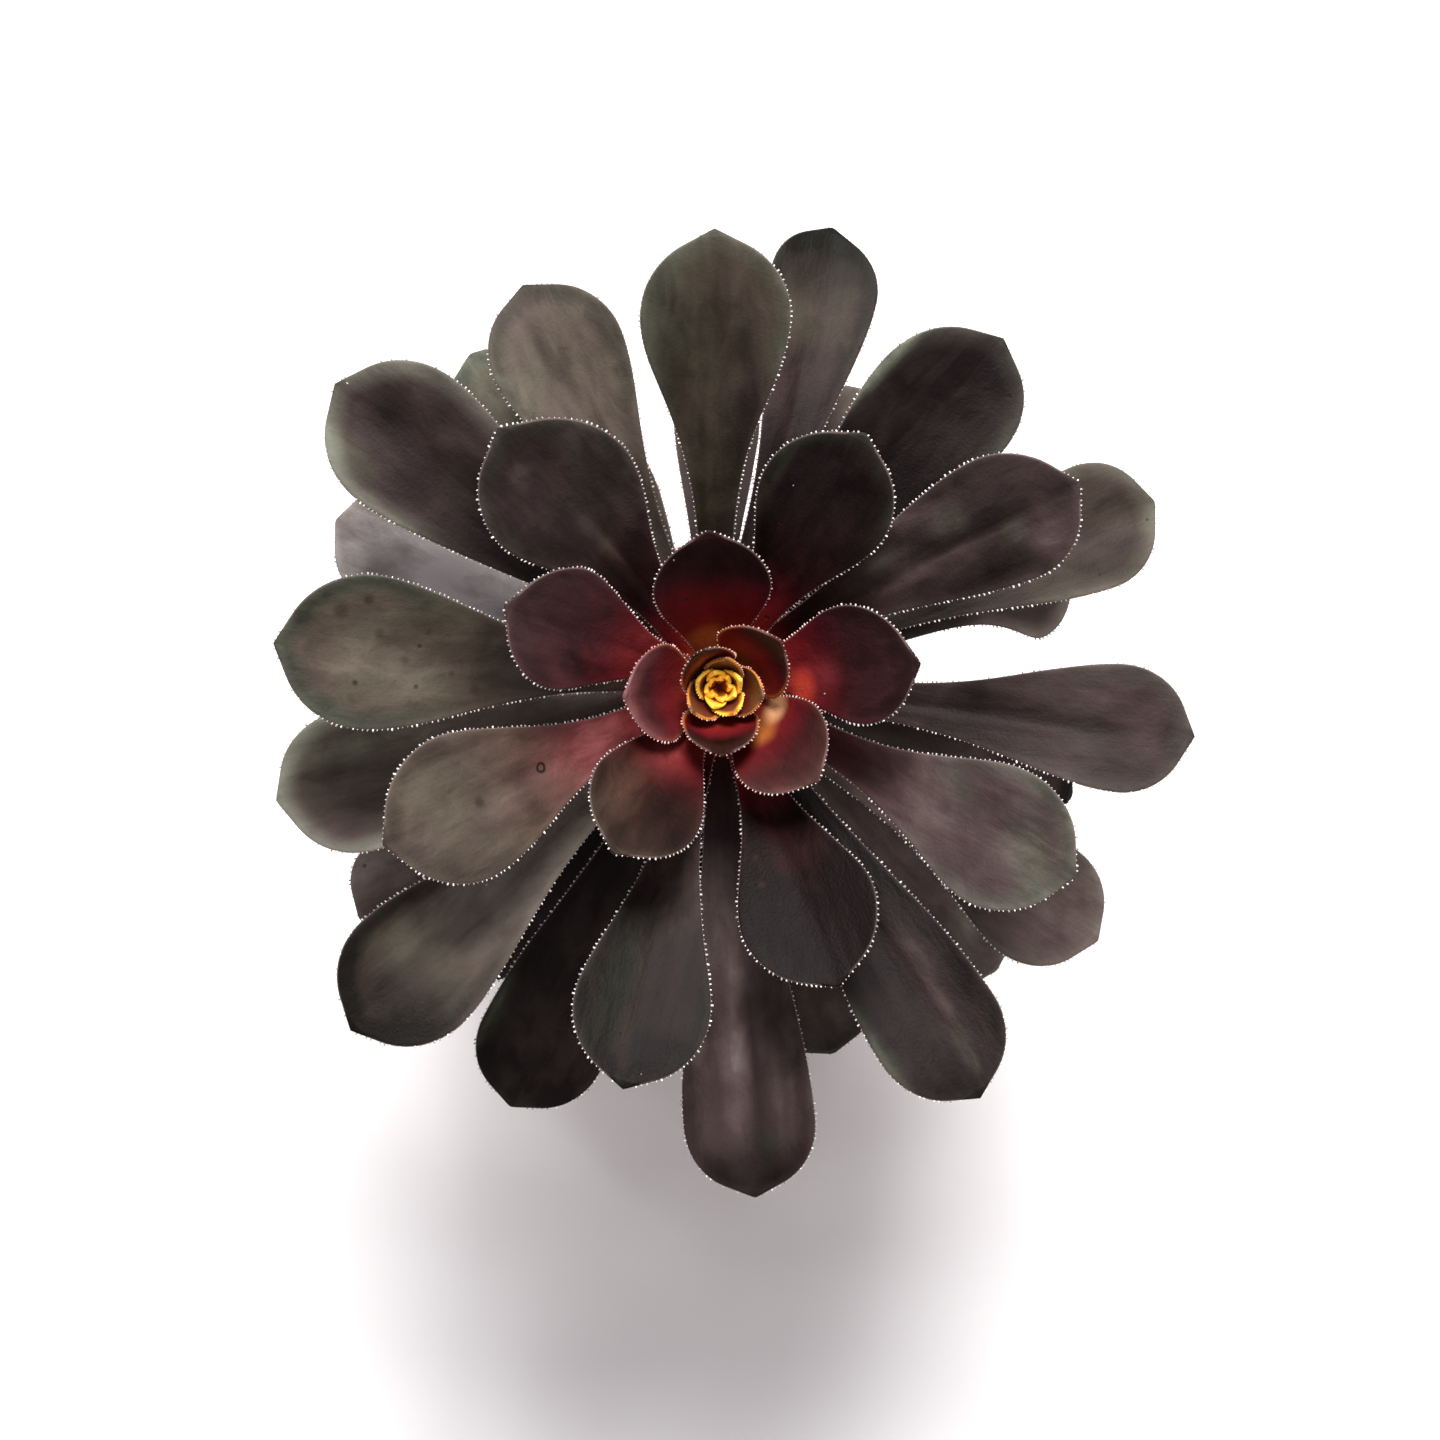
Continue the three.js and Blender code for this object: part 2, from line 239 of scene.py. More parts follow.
leafRows = [  # sway, length, width, rise, roll: degrees and millimetres; some with their flare and bow
    (-6, 24, 13, 74, 0), (2, 26, 15, 68, 0), (-4, 28, 16.5, 65, 0), (1, 32, 18, 61, 0),
    (-3, 37.7, 19, 56.5, 0), (-2, 41.8, 21, 51, 0), (0, 51, 21.5, 52, 0, 1.5),
    (-3.5, 51, 21.5, 51, 0, 1.6, 1.5), (8, 56.5, 22, 47, 0, 1.8), (4, 66, 25, 37, 4, 2),
    (-3.5, 63, 24.5, 39, -4, 1.9), (1.5, 75, 26.5, 34, 0, 1.9), (-7.5, 77, 26, 28, 5, 2.3),
    (13, 70.5, 28, 35, -4, 2, -1.5), (1, 80, 24.5, 30, 0, 2.2, -0.3), (-2, 80, 24, 29, 6, 1.6, 2),
    (4, 84.5, 27.5, 25, 0, 1.7), (-5, 90, 24, 20, -4), (6, 86, 27, 24, 0, 2.4), (0.5, 92, 26, 17, 4, 2),
    (-6, 87.5, 23.5, 15, -3, 2.1), (4.4, 87.5, 28, 12, 0, 1.4), (-0.6, 94, 24.5, 10, 3),
    (-2, 81, 28, 12, 5, 1.25, 1.5), (5.2, 82, 27, 6, -4), (-1.6, 84.5, 24, 5, 0, 2.6),
    (11, 79, 25.5, 3, 4, 1.9), (2.2, 87, 24.5, 0, 0), (1.8, 88, 24.5, -3, -3, 1.8), (0, 75, 24, -6, 4),
    (-7, 75, 23.5, -9, 0), (2.6, 86.3, 21.5, -6, 5, 1.9, -1.8), (5, 82, 22.5, -12, 0),
    (-6, 74, 22, -14, -5), (2, 77, 22, -15, 0), (0, 72, 22, -18, 0), (-3, 70, 22, -20, 3),
    (0, 74, 22, -21, 0), (-1, 84, 21, -18, -3), (-4, 60, 17, -25, 0), (0, 80, 18, -21, 0),
    (7, 78, 20, -22, 15, 6), (0, 70, 19, -29, 0), (-4, 70, 19, -33, 0), (1, 69, 18, -29, 0),
    (0, 68, 18, -33, 4), (0, 66, 18, -34, 0), (5, 54, 17, -38, 0),
]
leafTints = [  # lightness, olive, lightness and green of the end (its raised lightness partly a painted sheen), reach of the red flush
    (0.18, 0.9, 0.05, 0.7, 0.9), (-0.02, 0.9, 0.2, 0.5, 0.6), (0.22, 0.7, 0.15, 0.5, 0.95),
    (0.5, -0.2, 0.28, 0, 0.7), (0.36, 0.4, 0.05, 0.3, 0.88), (0.22, -0.2, -0.05, 0, 1.1),
    (0.2, 0.9, 0, 0.1, 0.95), (0.24, -0.3, -0.08, 0, 1.1), (0.33, -0.2, 0, 0, 1.15),
    (-0.1, 0.4, -0.05, 0.1, 1.1), (0.06, 0, 0.05, 0.5, 1.1), (0.57, 0.7, -0.1, 0, 1.15),
    (0.5, -0.3, 0, 0.5, 1.0), (0.3, 0.1, 0, 0.4, 0.9), (0.05, 0.3, -0.03, 0.3, 0.9),
    (0.33, -0.2, 0, 0, 0.9), (0.5, 0.7, -0.2, 0.8, 0.6), (0.15, 0.1, -0.05, 0.2, 0.7),
    (0.35, 0.9, 0.05, 0.5, 0.7), (0.8, 0.5, -0.4, 0.2, 0.6), (0.37, 0, 0.05, 0.3, 0.7),
    (0.28, 0.2, 0.3, 0.6, 0.7), (0.57, -0.3, -0.15, 0, 0.7), (0.1, 0, 0.15, 0.5, 0.6),
    (0.66, 0.4, 0.2, 0.6, 0.5), (0.6, 0.1, 0.05, 0.2, 0.5), (0.6, 0.6, -0.2, 0.3, 0.5),
    (0.05, 0.2, -0.05, 0.3, 0.6), (0.4, 0.5, 0.2, 0.3, 0.5), (0.95, -0.3, -0.05, 0.2, 0.4),
    (0.42, 0.3, -0.15, 0.4, 0.4), (0.38, 0.4, -0.15, 0.3, 0.5), (0.75, -0.3, 0.05, 0, 0.4),
    (0.25, 0.1, -0.35, 0, 0.4), (0.55, 0.8, -0.1, 0.8, 0.4), (0.35, 0.2, 0.1, 0.2, 0.4),
    (0.4, 0.3, 0, 0.2, 0.4), (0.3, 0, 0.1, 0.2, 0.4), (0.58, 0.1, 0, 0.3, 0.4),
    (0.42, 0.3, 0, 0, 0.4), (0.15, 0.2, 0, 0, 0.4), (0.38, 0.2, 0.4, 0, 0.4),
    (0.35, 0.5, 0, 0.2, 0.4), (0.45, 0.2, 0.1, 0.2, 0.4), (0.7, 0.4, 0, 0.2, 0.4),
    (0.32, 0.1, 0, 0, 0.4), (0.45, 0.4, 0.1, 0.2, 0.4), (0.4, 0.7, 0, 0.2, 0.4),
]
# Wide patches on the midline are partly the leaf's own tone and partly painted light: they lighten bases that
# other leaves shade, as on leaves 7 to 11 and 30
patches = {  # leaf: across, along, half its width and length, how much lighter, some also greener and redder
    7: [(-4.1, 38, 3, 5, 0.15), (8, 40.3, 2, 6, -0.2), (-1, 20, 6, 9, 0.55, 0.1),
        (-5, 36, 4, 8, 0.12, 0.5), (4, 34, 3, 9, -0.12)],
    8: [(-3, 21, 3, 4, 0.35, 0.2), (-2, 29, 3, 4, 0.15), (0, 26, 7, 9, 0.2)],
    9: [(0, 26, 8, 9, 0.18), (-2.5, 20, 4, 6, 0.28)],
    10: [(3.5, 46, 3, 8, 0.05, 0.6), (0, 32, 10, 15, 0.25, -0.4, 0.35),
         (0, 52, 14, 16, -0.12, -0.5, 0.3), (2, 20, 6, 10, 0.55, 0, 0.5)],
    11: [(10, 49, 1.5, 8, 0.1, 0.6), (0, 26, 8, 12, 0.12)],
    12: [(-1, 32, 6, 12, 0.15, -0.4, 0.3), (0, 26, 8, 11, 0.32)],
    13: [(2.2, 66.2, 5, 5, 0.06, 0.5), (-3, 70.1, 4, 4, 0.06, 0.5), (5, 50, 3, 5, 0, 0.4),
         (0, 42, 9, 13, 0.12)],
    14: [(0.9, 50, 0.7, 7, 0.3, 0.3), (0.3, 38, 0.6, 7, 0.25, 0.3), (2.4, 62, 1.3, 1.2, 0.2),
         (-6, 56, 2.5, 9, -0.1, 0.4)],
    15: [(-5, 62, 2.6, 11, -0.1, 0.9), (-1, 66, 0.8, 12, 0.2, 0.3), (6.3, 52.8, 3, 9, 0.1, -0.3),
         (1.5, 30, 1.5, 8, -0.1, 0.8), (0, 38, 8, 12, 0.5, 0, 0.1), (-2.5, 70.8, 2.5, 5, 0.2, -0.2)],
    16: [(4.2, 56.8, 2.6, 3.5, 0.3, 0.7), (-6.7, 69.6, 3.2, 4, 0.3, 0.1), (3.5, 41.2, 2, 6, 0.15, 0.5),
         (0.5, 64, 1.3, 9, -0.25), (-8, 58, 2.5, 10, -0.25), (7, 74, 3, 5, 0.1), (-2, 46, 0.9, 12, 0.25),
         (8, 50, 1.2, 10, 0.18), (-2.9, 66, 2.5, 3, 0.15, 0.5)],
    17: [(0, 40, 9, 12, -0.22), (5, 62, 4, 8, 0.1, 0.2), (-6, 60, 3.5, 8, -0.1, 0.2), (0, 72, 4, 4, 0.12)],
    18: [(3.2, 72, 1.2, 6, 0.25, 0.2), (2.4, 83, 1.2, 5, 0.3, 0.5), (-10.8, 74, 1.5, 9, 0.25, 0.8),
         (4.5, 62, 2.2, 8, 0.2, -0.1), (0, 45, 9, 13, -0.2)],
    19: [(8, 70.5, 4, 9, 0, 0.6), (-6, 55, 3.5, 12, -0.15, -0.5)],
    20: [(-1, 66, 6, 14, 0.08), (6.9, 66.7, 3, 6, 0.1, -0.2), (-5, 72, 4, 7, 0.08, 0.4),
         (0, 85, 14, 10, -0.7, 0.1), (-11, 70, 4, 16, -0.3), (0, 40, 8, 14, 0.1),
         (8, 76, 3, 12, -0.3, 0.2)],
    21: [(0, 45, 9, 14, -0.12), (4.5, 67.8, 3, 7, 0.15, 0.1), (0.4, 62, 0.8, 14, -0.2)],
    22: [(-2.4, 76.6, 4, 3.5, -0.2), (8.5, 79, 3, 7, 0.15, 0.6), (0, 45, 10, 16, -0.36)],
    23: [(-1.2, 62, 1.5, 15, 0.28), (2.2, 66, 0.8, 14, -0.25), (8.8, 61.6, 1.5, 9, 0.15),
         (-6, 68, 1, 10, -0.2), (3, 84, 2.5, 2.5, 0, 0.6), (0, 89, 12, 9, -0.42),
         (5.5, 74, 1.2, 10, 0.15), (-9, 66, 1.5, 14, 0.12)],
    24: [(13, 63.6, 1.3, 12, 0.4, 0.9), (0, 42, 9, 14, -0.12)],
    25: [(0, 46, 7, 10, 0.12), (-2.8, 68, 0.9, 8, -0.3), (-6, 66, 4, 12, 0.04, 0.6),
         (9, 71.8, 2.5, 5, 0, -0.4), (0, 56, 6, 8, 0.15)],
    26: [(0, 57, 12, 9, -0.6)],
    27: [(1.8, 66, 0.9, 5, -0.25), (0.7, 57.7, 0.8, 6, -0.25), (-1.1, 48.2, 0.8, 7, -0.2),
         (10, 59, 3, 7, 0.15, 0.2)],
    28: [(-10.8, 71, 1.2, 9, 0.35, 0.8), (0, 40, 8, 14, 0.06, 0, 0.3)],
    29: [(0, 44, 10, 15, -0.24)],
    30: [(0, 47, 16, 17, 0.8)],
    31: [(2.6, 63, 1.5, 6, 0.15)],
    32: [(3.3, 66.9, 3.5, 5, 0.1, 0.4), (-4.6, 68.2, 2, 6, 0.1, 0.2), (0, 84, 14, 9, -0.4, 0.3),
         (0, 42, 10, 16, -0.13, -0.4, 0.15)],
    33: [(-6.9, 73, 2.5, 4, 0.2), (3, 70, 3, 6, -0.2)],
    35: [(0, 65, 12, 14, 0, 0.6)],
    39: [(1.7, 69.7, 3, 4, 0.1, 0.6)],
}
marks = [  # leaf, across, along, radius, thickness, strength, finish: old scars of drops, and spots of painted glow near the heart
    (12, -0.3, 41.6, 0.75, 0.42, 1, "speck"), (12, 0.5, 55.5, 0, 1.5, 0.6, "speck"),
    (10, -5.1, 37.3, 0, 0.9, 0.9, "speck"), (10, -5.8, 42.9, 0, 1.0, 0.9, "speck"),
    (17, -7.0, 73.5, 0, 2.0, 0.5, "speck"), (17, -9.3, 68.9, 0, 1.4, 0.6, "speck"),
    (17, 0.8, 60.8, 0, 1.2, 0.4, "speck"), (17, 5.0, 47.3, 0, 1.5, 0.4, "speck"),
    (17, 5.5, 69.7, 0, 0.8, 0.8, "speck"), (17, -3.5, 66, 0, 1.4, 0.45, "speck"),
    (17, -4.5, 57, 0, 1.1, 0.4, "speck"), (17, 2.5, 52, 0, 0.9, 0.4, "speck"),
    (5, -0.5, 17.5, 0, 5.0, 0.6, "amber"), (5, 4.2, 16.8, 0, 4.0, 0.7, "cream"),
    (6, 1.0, 13.0, 0, 5.5, 0.6, "amber"), (8, -3.5, 23.0, 0, 4.6, 0.4, "flame"),
]
blade = {
    "oldBase": 6, "youngBase": 4, "oldArch": 22, "youngArch": -14, "oldFlesh": 2.9, "youngFlesh": 1.0,
    "flare": 1.25, "edge": 0.7, "point": 1.4, "sink": 1.5, "tail": 1.4, "round": 1.05, "thinning": 0.45,
    "troughBase": 0.16, "troughTip": 0.1, "tightestCurl": 2, "apart": 37.0,
    "around": 40, "capRings": 16, "shaftRings": 56, "pointRings": 4, "midlineSteps": 16,
}
relief = {  # depths and widths in millimetres, on a leaf of full size; pitches are ripples to the millimetre
    "fullSize": 90, "wobble": 0.02, "wobbles": 7, "sag": 0.45, "sagPitch": (0.09, 0.05),
    "cord": 0.16, "cordPitch": (0.42, 0.035), "groove": 0.35, "grooveWide": 1.0, "wander": 0.7,
    "wanderPitch": 0.07, "lip": 0.12, "lipWide": 0.7, "keel": 0.3, "keelWide": 2.2,
}
bladeNumbers = {  # the layers of a blade's mesh that hold three numbers each, beside bladePlace
    "bladeForm": ("edge", "share", "upper"), "bladeTint": ("light", "olive", "endLight"),
    "bladeMood": ("endGreen", "reach", "youth"), "bladePatch": ("lighter", "greener", "redder"),
}
fringe = {
    "spacing": 0.95, "gaps": (0.8, 1.2), "long": 0.42, "thick": 0.17, "youngThick": 0.8, "blunt": 0.13,
    "sizes": (0.55, 1.3), "sunk": 0.15, "lean": 0.2, "tilt": 0.16, "sides": 5,
    "span": (0.1, 0.997), "steps": 90,
}


def leafOf(number):
    sway, length, width, rise, roll, *odd = leafRows[number - 1]
    flare, bow = odd + [blade["flare"], 0][len(odd):]
    age = number - 1
    below = rosette["firstNode"] + rosette["spacing"] * age - rosette["crowding"] * age * age
    wrap = math.exp(-age / rosette["youth"])
    return SimpleNamespace(
        seed=number, length=length, half=width / 2, flare=flare, bow=bow, wrap=wrap,
        narrow=lerp(blade["oldBase"], blade["youngBase"], wrap) / width,
        azimuth=math.radians(rosette["start"] + rosette["turn"] * age + sway),
        rise=math.radians(rise), roll=math.radians(roll), root=(stemRadius(below) - blade["sink"], -below),
        arch=math.radians(lerp(blade["oldArch"], blade["youngArch"], wrap)),
        flesh=lerp(blade["oldFlesh"], blade["youngFlesh"], wrap),
        tint=leafTints[age][:3], mood=(*leafTints[age][3:], wrap))


def widest(leaf):
    return 1 - (leaf.half * blade["round"] + blade["point"]) / leaf.length


def roundEnd(leaf):
    # How far the round end alone would reach, and at what share of that its sides run on to the point
    full = widest(leaf)
    reach = 1 - blade["point"] / leaf.length - full
    return full, reach, reach / (1 - full)


def halfWidth(leaf, t):
    full, reach, touch = roundEnd(leaf)
    if t <= full:
        flare = ease((max(t, 0) / full) ** leaf.flare)
        return leaf.half * (leaf.narrow + (1 - leaf.narrow) * flare)
    cap = min((t - full) / reach, 1 / touch)
    if cap <= touch:
        return leaf.half * math.sqrt(1 - cap * cap)
    return leaf.half * (1 - cap * touch) / math.sqrt(1 - touch * touch)


def ringOf(leaf, t):
    # Where the midline is at a share t of the length, and how wide and fleshy the blade is there
    steps = blade["midlineSteps"]
    out, high = leaf.root
    for k in range(steps):
        slope = leaf.rise + leaf.arch * (0.5 - t * (k + 0.5) / steps)
        out += leaf.length * t / steps * math.cos(slope)
        high += leaf.length * t / steps * math.sin(slope)
    half = halfWidth(leaf, t)
    flesh = leaf.flesh * (1 - blade["thinning"] * t * t) * min(1, 0.3 + half / 4)
    slope = leaf.rise + leaf.arch * (0.5 - t)
    return SimpleNamespace(t=t, out=out, high=high, slope=slope, half=half, flesh=flesh)


def edgeDistance(leaf, ring, s):
    full, reach, touch = roundEnd(leaf)
    if ring.t <= full:
        return (1 - abs(s)) * ring.half
    x, y = abs(s) * ring.half / leaf.half, (ring.t - full) / reach
    lean = math.sqrt(1 - touch * touch)
    away = y * touch + x * lean if y * lean > x * touch else math.hypot(x, y)
    return (1 - away) * leaf.half


def skinRelief(leaf, ring, s, face, x, y):
    # Sags and cords of the flesh, the groove and lip of the upper face, and the keel of the lower one
    t, size = ring.t, leaf.length / relief["fullSize"]
    (sagX, sagY), (cordX, cordY) = relief["sagPitch"], relief["cordPitch"]
    sag = relief["sag"] * size * ripple(x * sagX, y * sagY, leaf.seed * 1.7) * (1.4 - leaf.wrap)
    cord = relief["cord"] * ripple(x * cordX, y * cordY, leaf.seed * 5.3) * (1 - s * s)
    skin = (sag + cord) * ease(t, 0.05, 0.3) * ease(1 - t, 0, 0.12)
    if face <= 0:
        return skin - relief["keel"] * size * bell(x, relief["keelWide"]) * ease(1 - t, 0.05, 0.6)
    wander = relief["wander"] * ripple(0.5, y * relief["wanderPitch"], leaf.seed * 2.3)
    shown = ease(t, 0.1, 0.4) * ease(1 - t, 0.04, 0.4)
    skin -= relief["groove"] * size * bell(x - wander, relief["grooveWide"]) * shown
    return skin + relief["lip"] * bell(edgeDistance(leaf, ring, s), relief["lipWide"]) * ease(face, 0, 0.3)


def bladePoint(leaf, ring, s, face):
    # A point of the skin: s runs from one margin to the other, face from the lower side to the upper
    t, half, grown = ring.t, ring.half, 1 - leaf.wrap
    margin = 3 if s > 0 else 0
    half *= 1 + relief["wobble"] * abs(s) * ripple(t * relief["wobbles"], margin, leaf.seed * 3.1) * grown
    x, y = s * half, t * leaf.length
    flesh = blade["edge"] * abs(face) ** 0.6 + max(ring.flesh - blade["edge"], 0) * face * face
    trough = half * grown * lerp(blade["troughBase"], blade["troughTip"], t) * (abs(s) + s * s)
    z = trough + 0.5 * math.copysign(flesh, face) + skinRelief(leaf, ring, s, face, x, y)
    twist = leaf.roll * ease(t * 1.6)
    above = z * math.cos(twist) + x * math.sin(twist)
    across = x * math.cos(twist) - z * math.sin(twist) + leaf.bow * 4 * t * (1 - t)
    curl = max(ring.out, blade["tightestCurl"]) / leaf.wrap
    ahead = ring.out - curl * (1 - math.cos(across / curl)) - math.sin(ring.slope) * above
    aside = curl * math.sin(across / curl)
    cos, sin = math.cos(leaf.azimuth), math.sin(leaf.azimuth)
    return Vector((
        ahead * cos - aside * sin, ahead * sin + aside * cos, ring.high + math.cos(ring.slope) * above))


def leafShares(leaf):
    # Shares of the length that have a ring, from the point back to just inside the stem
    full, end = widest(leaf), 1 - blade["point"] / leaf.length
    shares = [lerp(1, end, k / blade["pointRings"]) for k in range(blade["pointRings"])]
    quarter = [math.sin(math.pi / 2 * (1 - k / blade["capRings"])) for k in range(blade["capRings"])]
    shares += [lerp(full, end, share) for share in quarter]
    shares += [full * (1 - k / blade["shaftRings"]) for k in range(blade["shaftRings"])]
    return shares + [0, -blade["tail"] / leaf.length]


def patchAt(leaf, across, along):
    # The sum of the leaf's patches here: lighter, greener, redder
    total = Vector((0, 0, 0))
    for x, y, wide, long, *change in patches.get(leaf.seed, []):
        total += Vector((*change, 0, 0)[:3]) * bell(across - x, wide) * bell(along - y, long)
    return total


def newBladeMesh():
    bm = bmesh.new()
    for name in ("bladePlace", *bladeNumbers):
        bm.verts.layers.float_vector.new(name)
    return bm


def addBlade(bm, leaf):
    shares = leafShares(leaf)
    rings = [ringOf(leaf, t) for t in shares]
    place, form, tint, mood, patch = [
        bm.verts.layers.float_vector[name] for name in ("bladePlace", *bladeNumbers)]
    for vert, index, angle in ringedBall(bm, blade["around"], len(shares) - 1):
        pole = index in (0, len(shares) - 1)
        s, face = (0, 0) if pole else (math.cos(angle), math.sin(angle))
        ring = rings[index]
        vert.co = toWorld @ bladePoint(leaf, ring, s, face)
        across, along = s * ring.half, ring.t * leaf.length
        pointed = ease(ring.t, 1 - 1.3 * blade["point"] / leaf.length, 1)
        vert[place] = (across, along, leaf.seed * blade["apart"])
        vert[form] = (edgeDistance(leaf, ring, s) + pointed, ring.t, face)
        vert[tint] = leaf.tint
        vert[mood] = leaf.mood
        vert[patch] = patchAt(leaf, across, along)


def addHair(hairs, spot, aim, size, kind):
    # One blunt cone, its foot sunk in the margin
    turned = up.rotation_difference(aim).to_matrix().to_4x4()
    centre = spot + aim * (kind["long"] * size / 2 - kind["sunk"])
    bmesh.ops.create_cone(
        hairs, segments=kind["sides"], radius1=kind["thick"] * size, radius2=kind["blunt"] * size,
        depth=kind["long"] * size, cap_ends=True, matrix=toWorld @ Matrix.Translation(centre) @ turned)


def addFringe(bm, leaf, dice, slot=1, **odd):
    # Hairs along both margins, each a little off its even place
    kind = fringe | odd
    kind["thick"] *= lerp(1, kind["youngThick"], leaf.wrap)
    hairs = bmesh.new()
    steps = range(kind["steps"] + 1)
    shares = [lerp(*kind["span"], math.sin(math.pi / 2 * k / kind["steps"])) for k in steps]
    rings = [ringOf(leaf, t) for t in shares]
    for side in (-1, 1):
        edge = [bladePoint(leaf, ring, side, 0) for ring in rings]
        inside = [bladePoint(leaf, ring, side * 0.3, 0) for ring in rings]
        due = dice.uniform(0, kind["spacing"])
        for start, end, middle in zip(edge, edge[1:], inside):
            run = end - start
            while due <= run.length:
                spot = start.lerp(end, due / max(run.length, 1e-6))
                inward = middle - spot
                outward = (inward.project(run) - inward).normalized()
                tilt = Vector([dice.gauss(0, kind["tilt"]) for _ in range(3)])
                aim = (outward + run.normalized() * kind["lean"] + tilt).normalized()
                addHair(hairs, spot, aim, dice.uniform(*kind["sizes"]), kind)
                due += kind["spacing"] * dice.uniform(*kind["gaps"])
            due -= run.length
    for face in hairs.faces:
        face.material_index = slot
    addTo(bm, hairs)


# Leaf finish

skinFinish = {  # each ramp from dark to pale
    "steps": (0, 0.155, 0.31, 0.465, 0.625, 0.81, 1), "top": 1.6,
    "mauve": [(0.004, 0.0015, 0.0015), (0.018, 0.0105, 0.0105), (0.048, 0.031, 0.030), (0.098, 0.069, 0.064),
              (0.19, 0.155, 0.145), (0.42, 0.385, 0.38), (0.72, 0.68, 0.675)],
    "olive": [(0.004, 0.003, 0.0015), (0.019, 0.014, 0.009), (0.048, 0.038, 0.026), (0.102, 0.085, 0.062),
              (0.20, 0.175, 0.13), (0.34, 0.31, 0.25), (0.60, 0.56, 0.50)],
    "green": [(0.005, 0.005, 0.0035), (0.021, 0.0235, 0.016), (0.056, 0.061, 0.045), (0.135, 0.143, 0.110),
              (0.26, 0.264, 0.215), (0.40, 0.40, 0.36), (0.66, 0.65, 0.62)],
    "heat": [(0, (0.075, 0.009, 0.014)), (0.3, (0.15, 0.009, 0.015)), (0.5, (0.26, 0.013, 0.017)),
             (0.65, (0.40, 0.035, 0.020)), (0.8, (0.58, 0.15, 0.030)), (1, (0.80, 0.40, 0.07))],
    "tinge": (1.0, 0.34, 0.40), "ember": (0.42, 0.11, 0.02),
    "rim": (0.26, 0.19, 0.175), "speck": (0.016, 0.007, 0.005), "dust": (0.60, 0.56, 0.52),
    "cream": (0.80, 0.42, 0.20), "amber": (0.45, 0.15, 0.03), "flame": (0.72, 0.07, 0.03),
    "glowReach": 26, "tingeReach": 44, "gloss": 0.10, "roughness": 0.56, "bump": (0.5, 0.0006),
    "grains": {  # stretch across, along and up, how many to the millimetre, detail, roughness, distortion
        "broad": ((1, 1, 1), 0.06, 2, 0.5, 0.6), "blotch": ((1, 0.5, 1), 0.25, 4, 0.58, 0.5),
        "streak": ((1, 0.11, 1), 0.4, 3, 0.6, 0.4), "fine": ((1, 1, 1), 1.6, 4, 0.6),
        "hue": ((1, 1, 1), 0.1, 2, 0.5, 0.8), "pore": ((1, 1, 1), 5.0, 2, 0.5),
    },
    "mottleAndSheen": {"broad": 0.5, "blotch": 0.38, "streak": 0.18, "fine": 0.08},
    "marginSheen": 0.09, "footPaintedShade": 0.18, "underLight": 0.12, "specks": 0.13, "flakes": 0.17,
}


def fromApex(board):
    # Millimetres out from the rosette's axis, and above its apex
    offset = board.vector("SUBTRACT", board.place(), apex * mm)
    out = board.vector("LENGTH", board.vector("CROSS_PRODUCT", offset, axis), (0, 0, 0), "Value")
    return out / mm, board.vector("DOT_PRODUCT", offset, axis, "Value") / mm


def skinPoint(board):
    # What the mesh says about a point of the skin, and the grains there
    at = SimpleNamespace(place=board.attribute("bladePlace"))
    for layer, names in bladeNumbers.items():
        for name, number in zip(names, board.parts(board.attribute(layer))):
            setattr(at, name, number)
    for name, grain in zip(skinFinish["grains"], board.grains(at.place, skinFinish["grains"])):
        setattr(at, name, grain)
    return at


def darkSkin(board, at):
    # Mauve, olive and green by one tone: patches and mottling, partly painted light and sheen; the end's
    # zone, partly a painted sheen; a painted sheen along the margins; painted shade darker towards the stem
    ragged = 0.5 + at.blotch
    # The end's zone: the leaf's own green and tone, and where it is lighter partly a painted sheen
    zone = board.smooth(at.edge + (at.blotch - 0.5) * 3, 1, 4.5, 1, 0) * board.smooth(at.share, 0.55, 0.8)
    # Painted sheen: a lighter band along the margins stands in for light on their rounded edges
    margin = board.smooth(at.edge + (at.fine - 0.5) * 0.4, 0.3, 1.7, 1, 0) * board.smooth(at.share, 0.2, 0.5)
    foot = board.smooth(at.share, 0.15, 0.7, 1, 0)
    under = board.smooth(at.upper, -0.25, 0.05, 1, 0)
    tone = at.light + at.lighter * ragged + zone * at.endLight
    # Mottling: the leaf's own blotches and streaks, and partly a painted sheen in lighter lengthwise patches
    for grain, much in skinFinish["mottleAndSheen"].items():
        tone = tone + (getattr(at, grain) - 0.5) * much
    tone = tone + margin * skinFinish["marginSheen"] + under * skinFinish["underLight"]
    # Painted shade: the tone is darkened towards the stem, where the upper leaves shade the base
    tone = (tone - foot * skinFinish["footPaintedShade"]) / skinFinish["top"]
    mauve, olive, green = [
        board.ramp(tone, *zip(skinFinish["steps"], skinFinish[key])) for key in ("mauve", "olive", "green")]
    color = board.mix(board.clip(at.olive + (at.hue - 0.5) * 0.9 + at.greener * 1.2), mauve, olive)
    greened = zone * at.endGreen + at.greener * ragged * 0.7 + (at.hue - 0.55) * 0.5 + under * 0.2
    return board.mix(board.clip(greened), color, green)


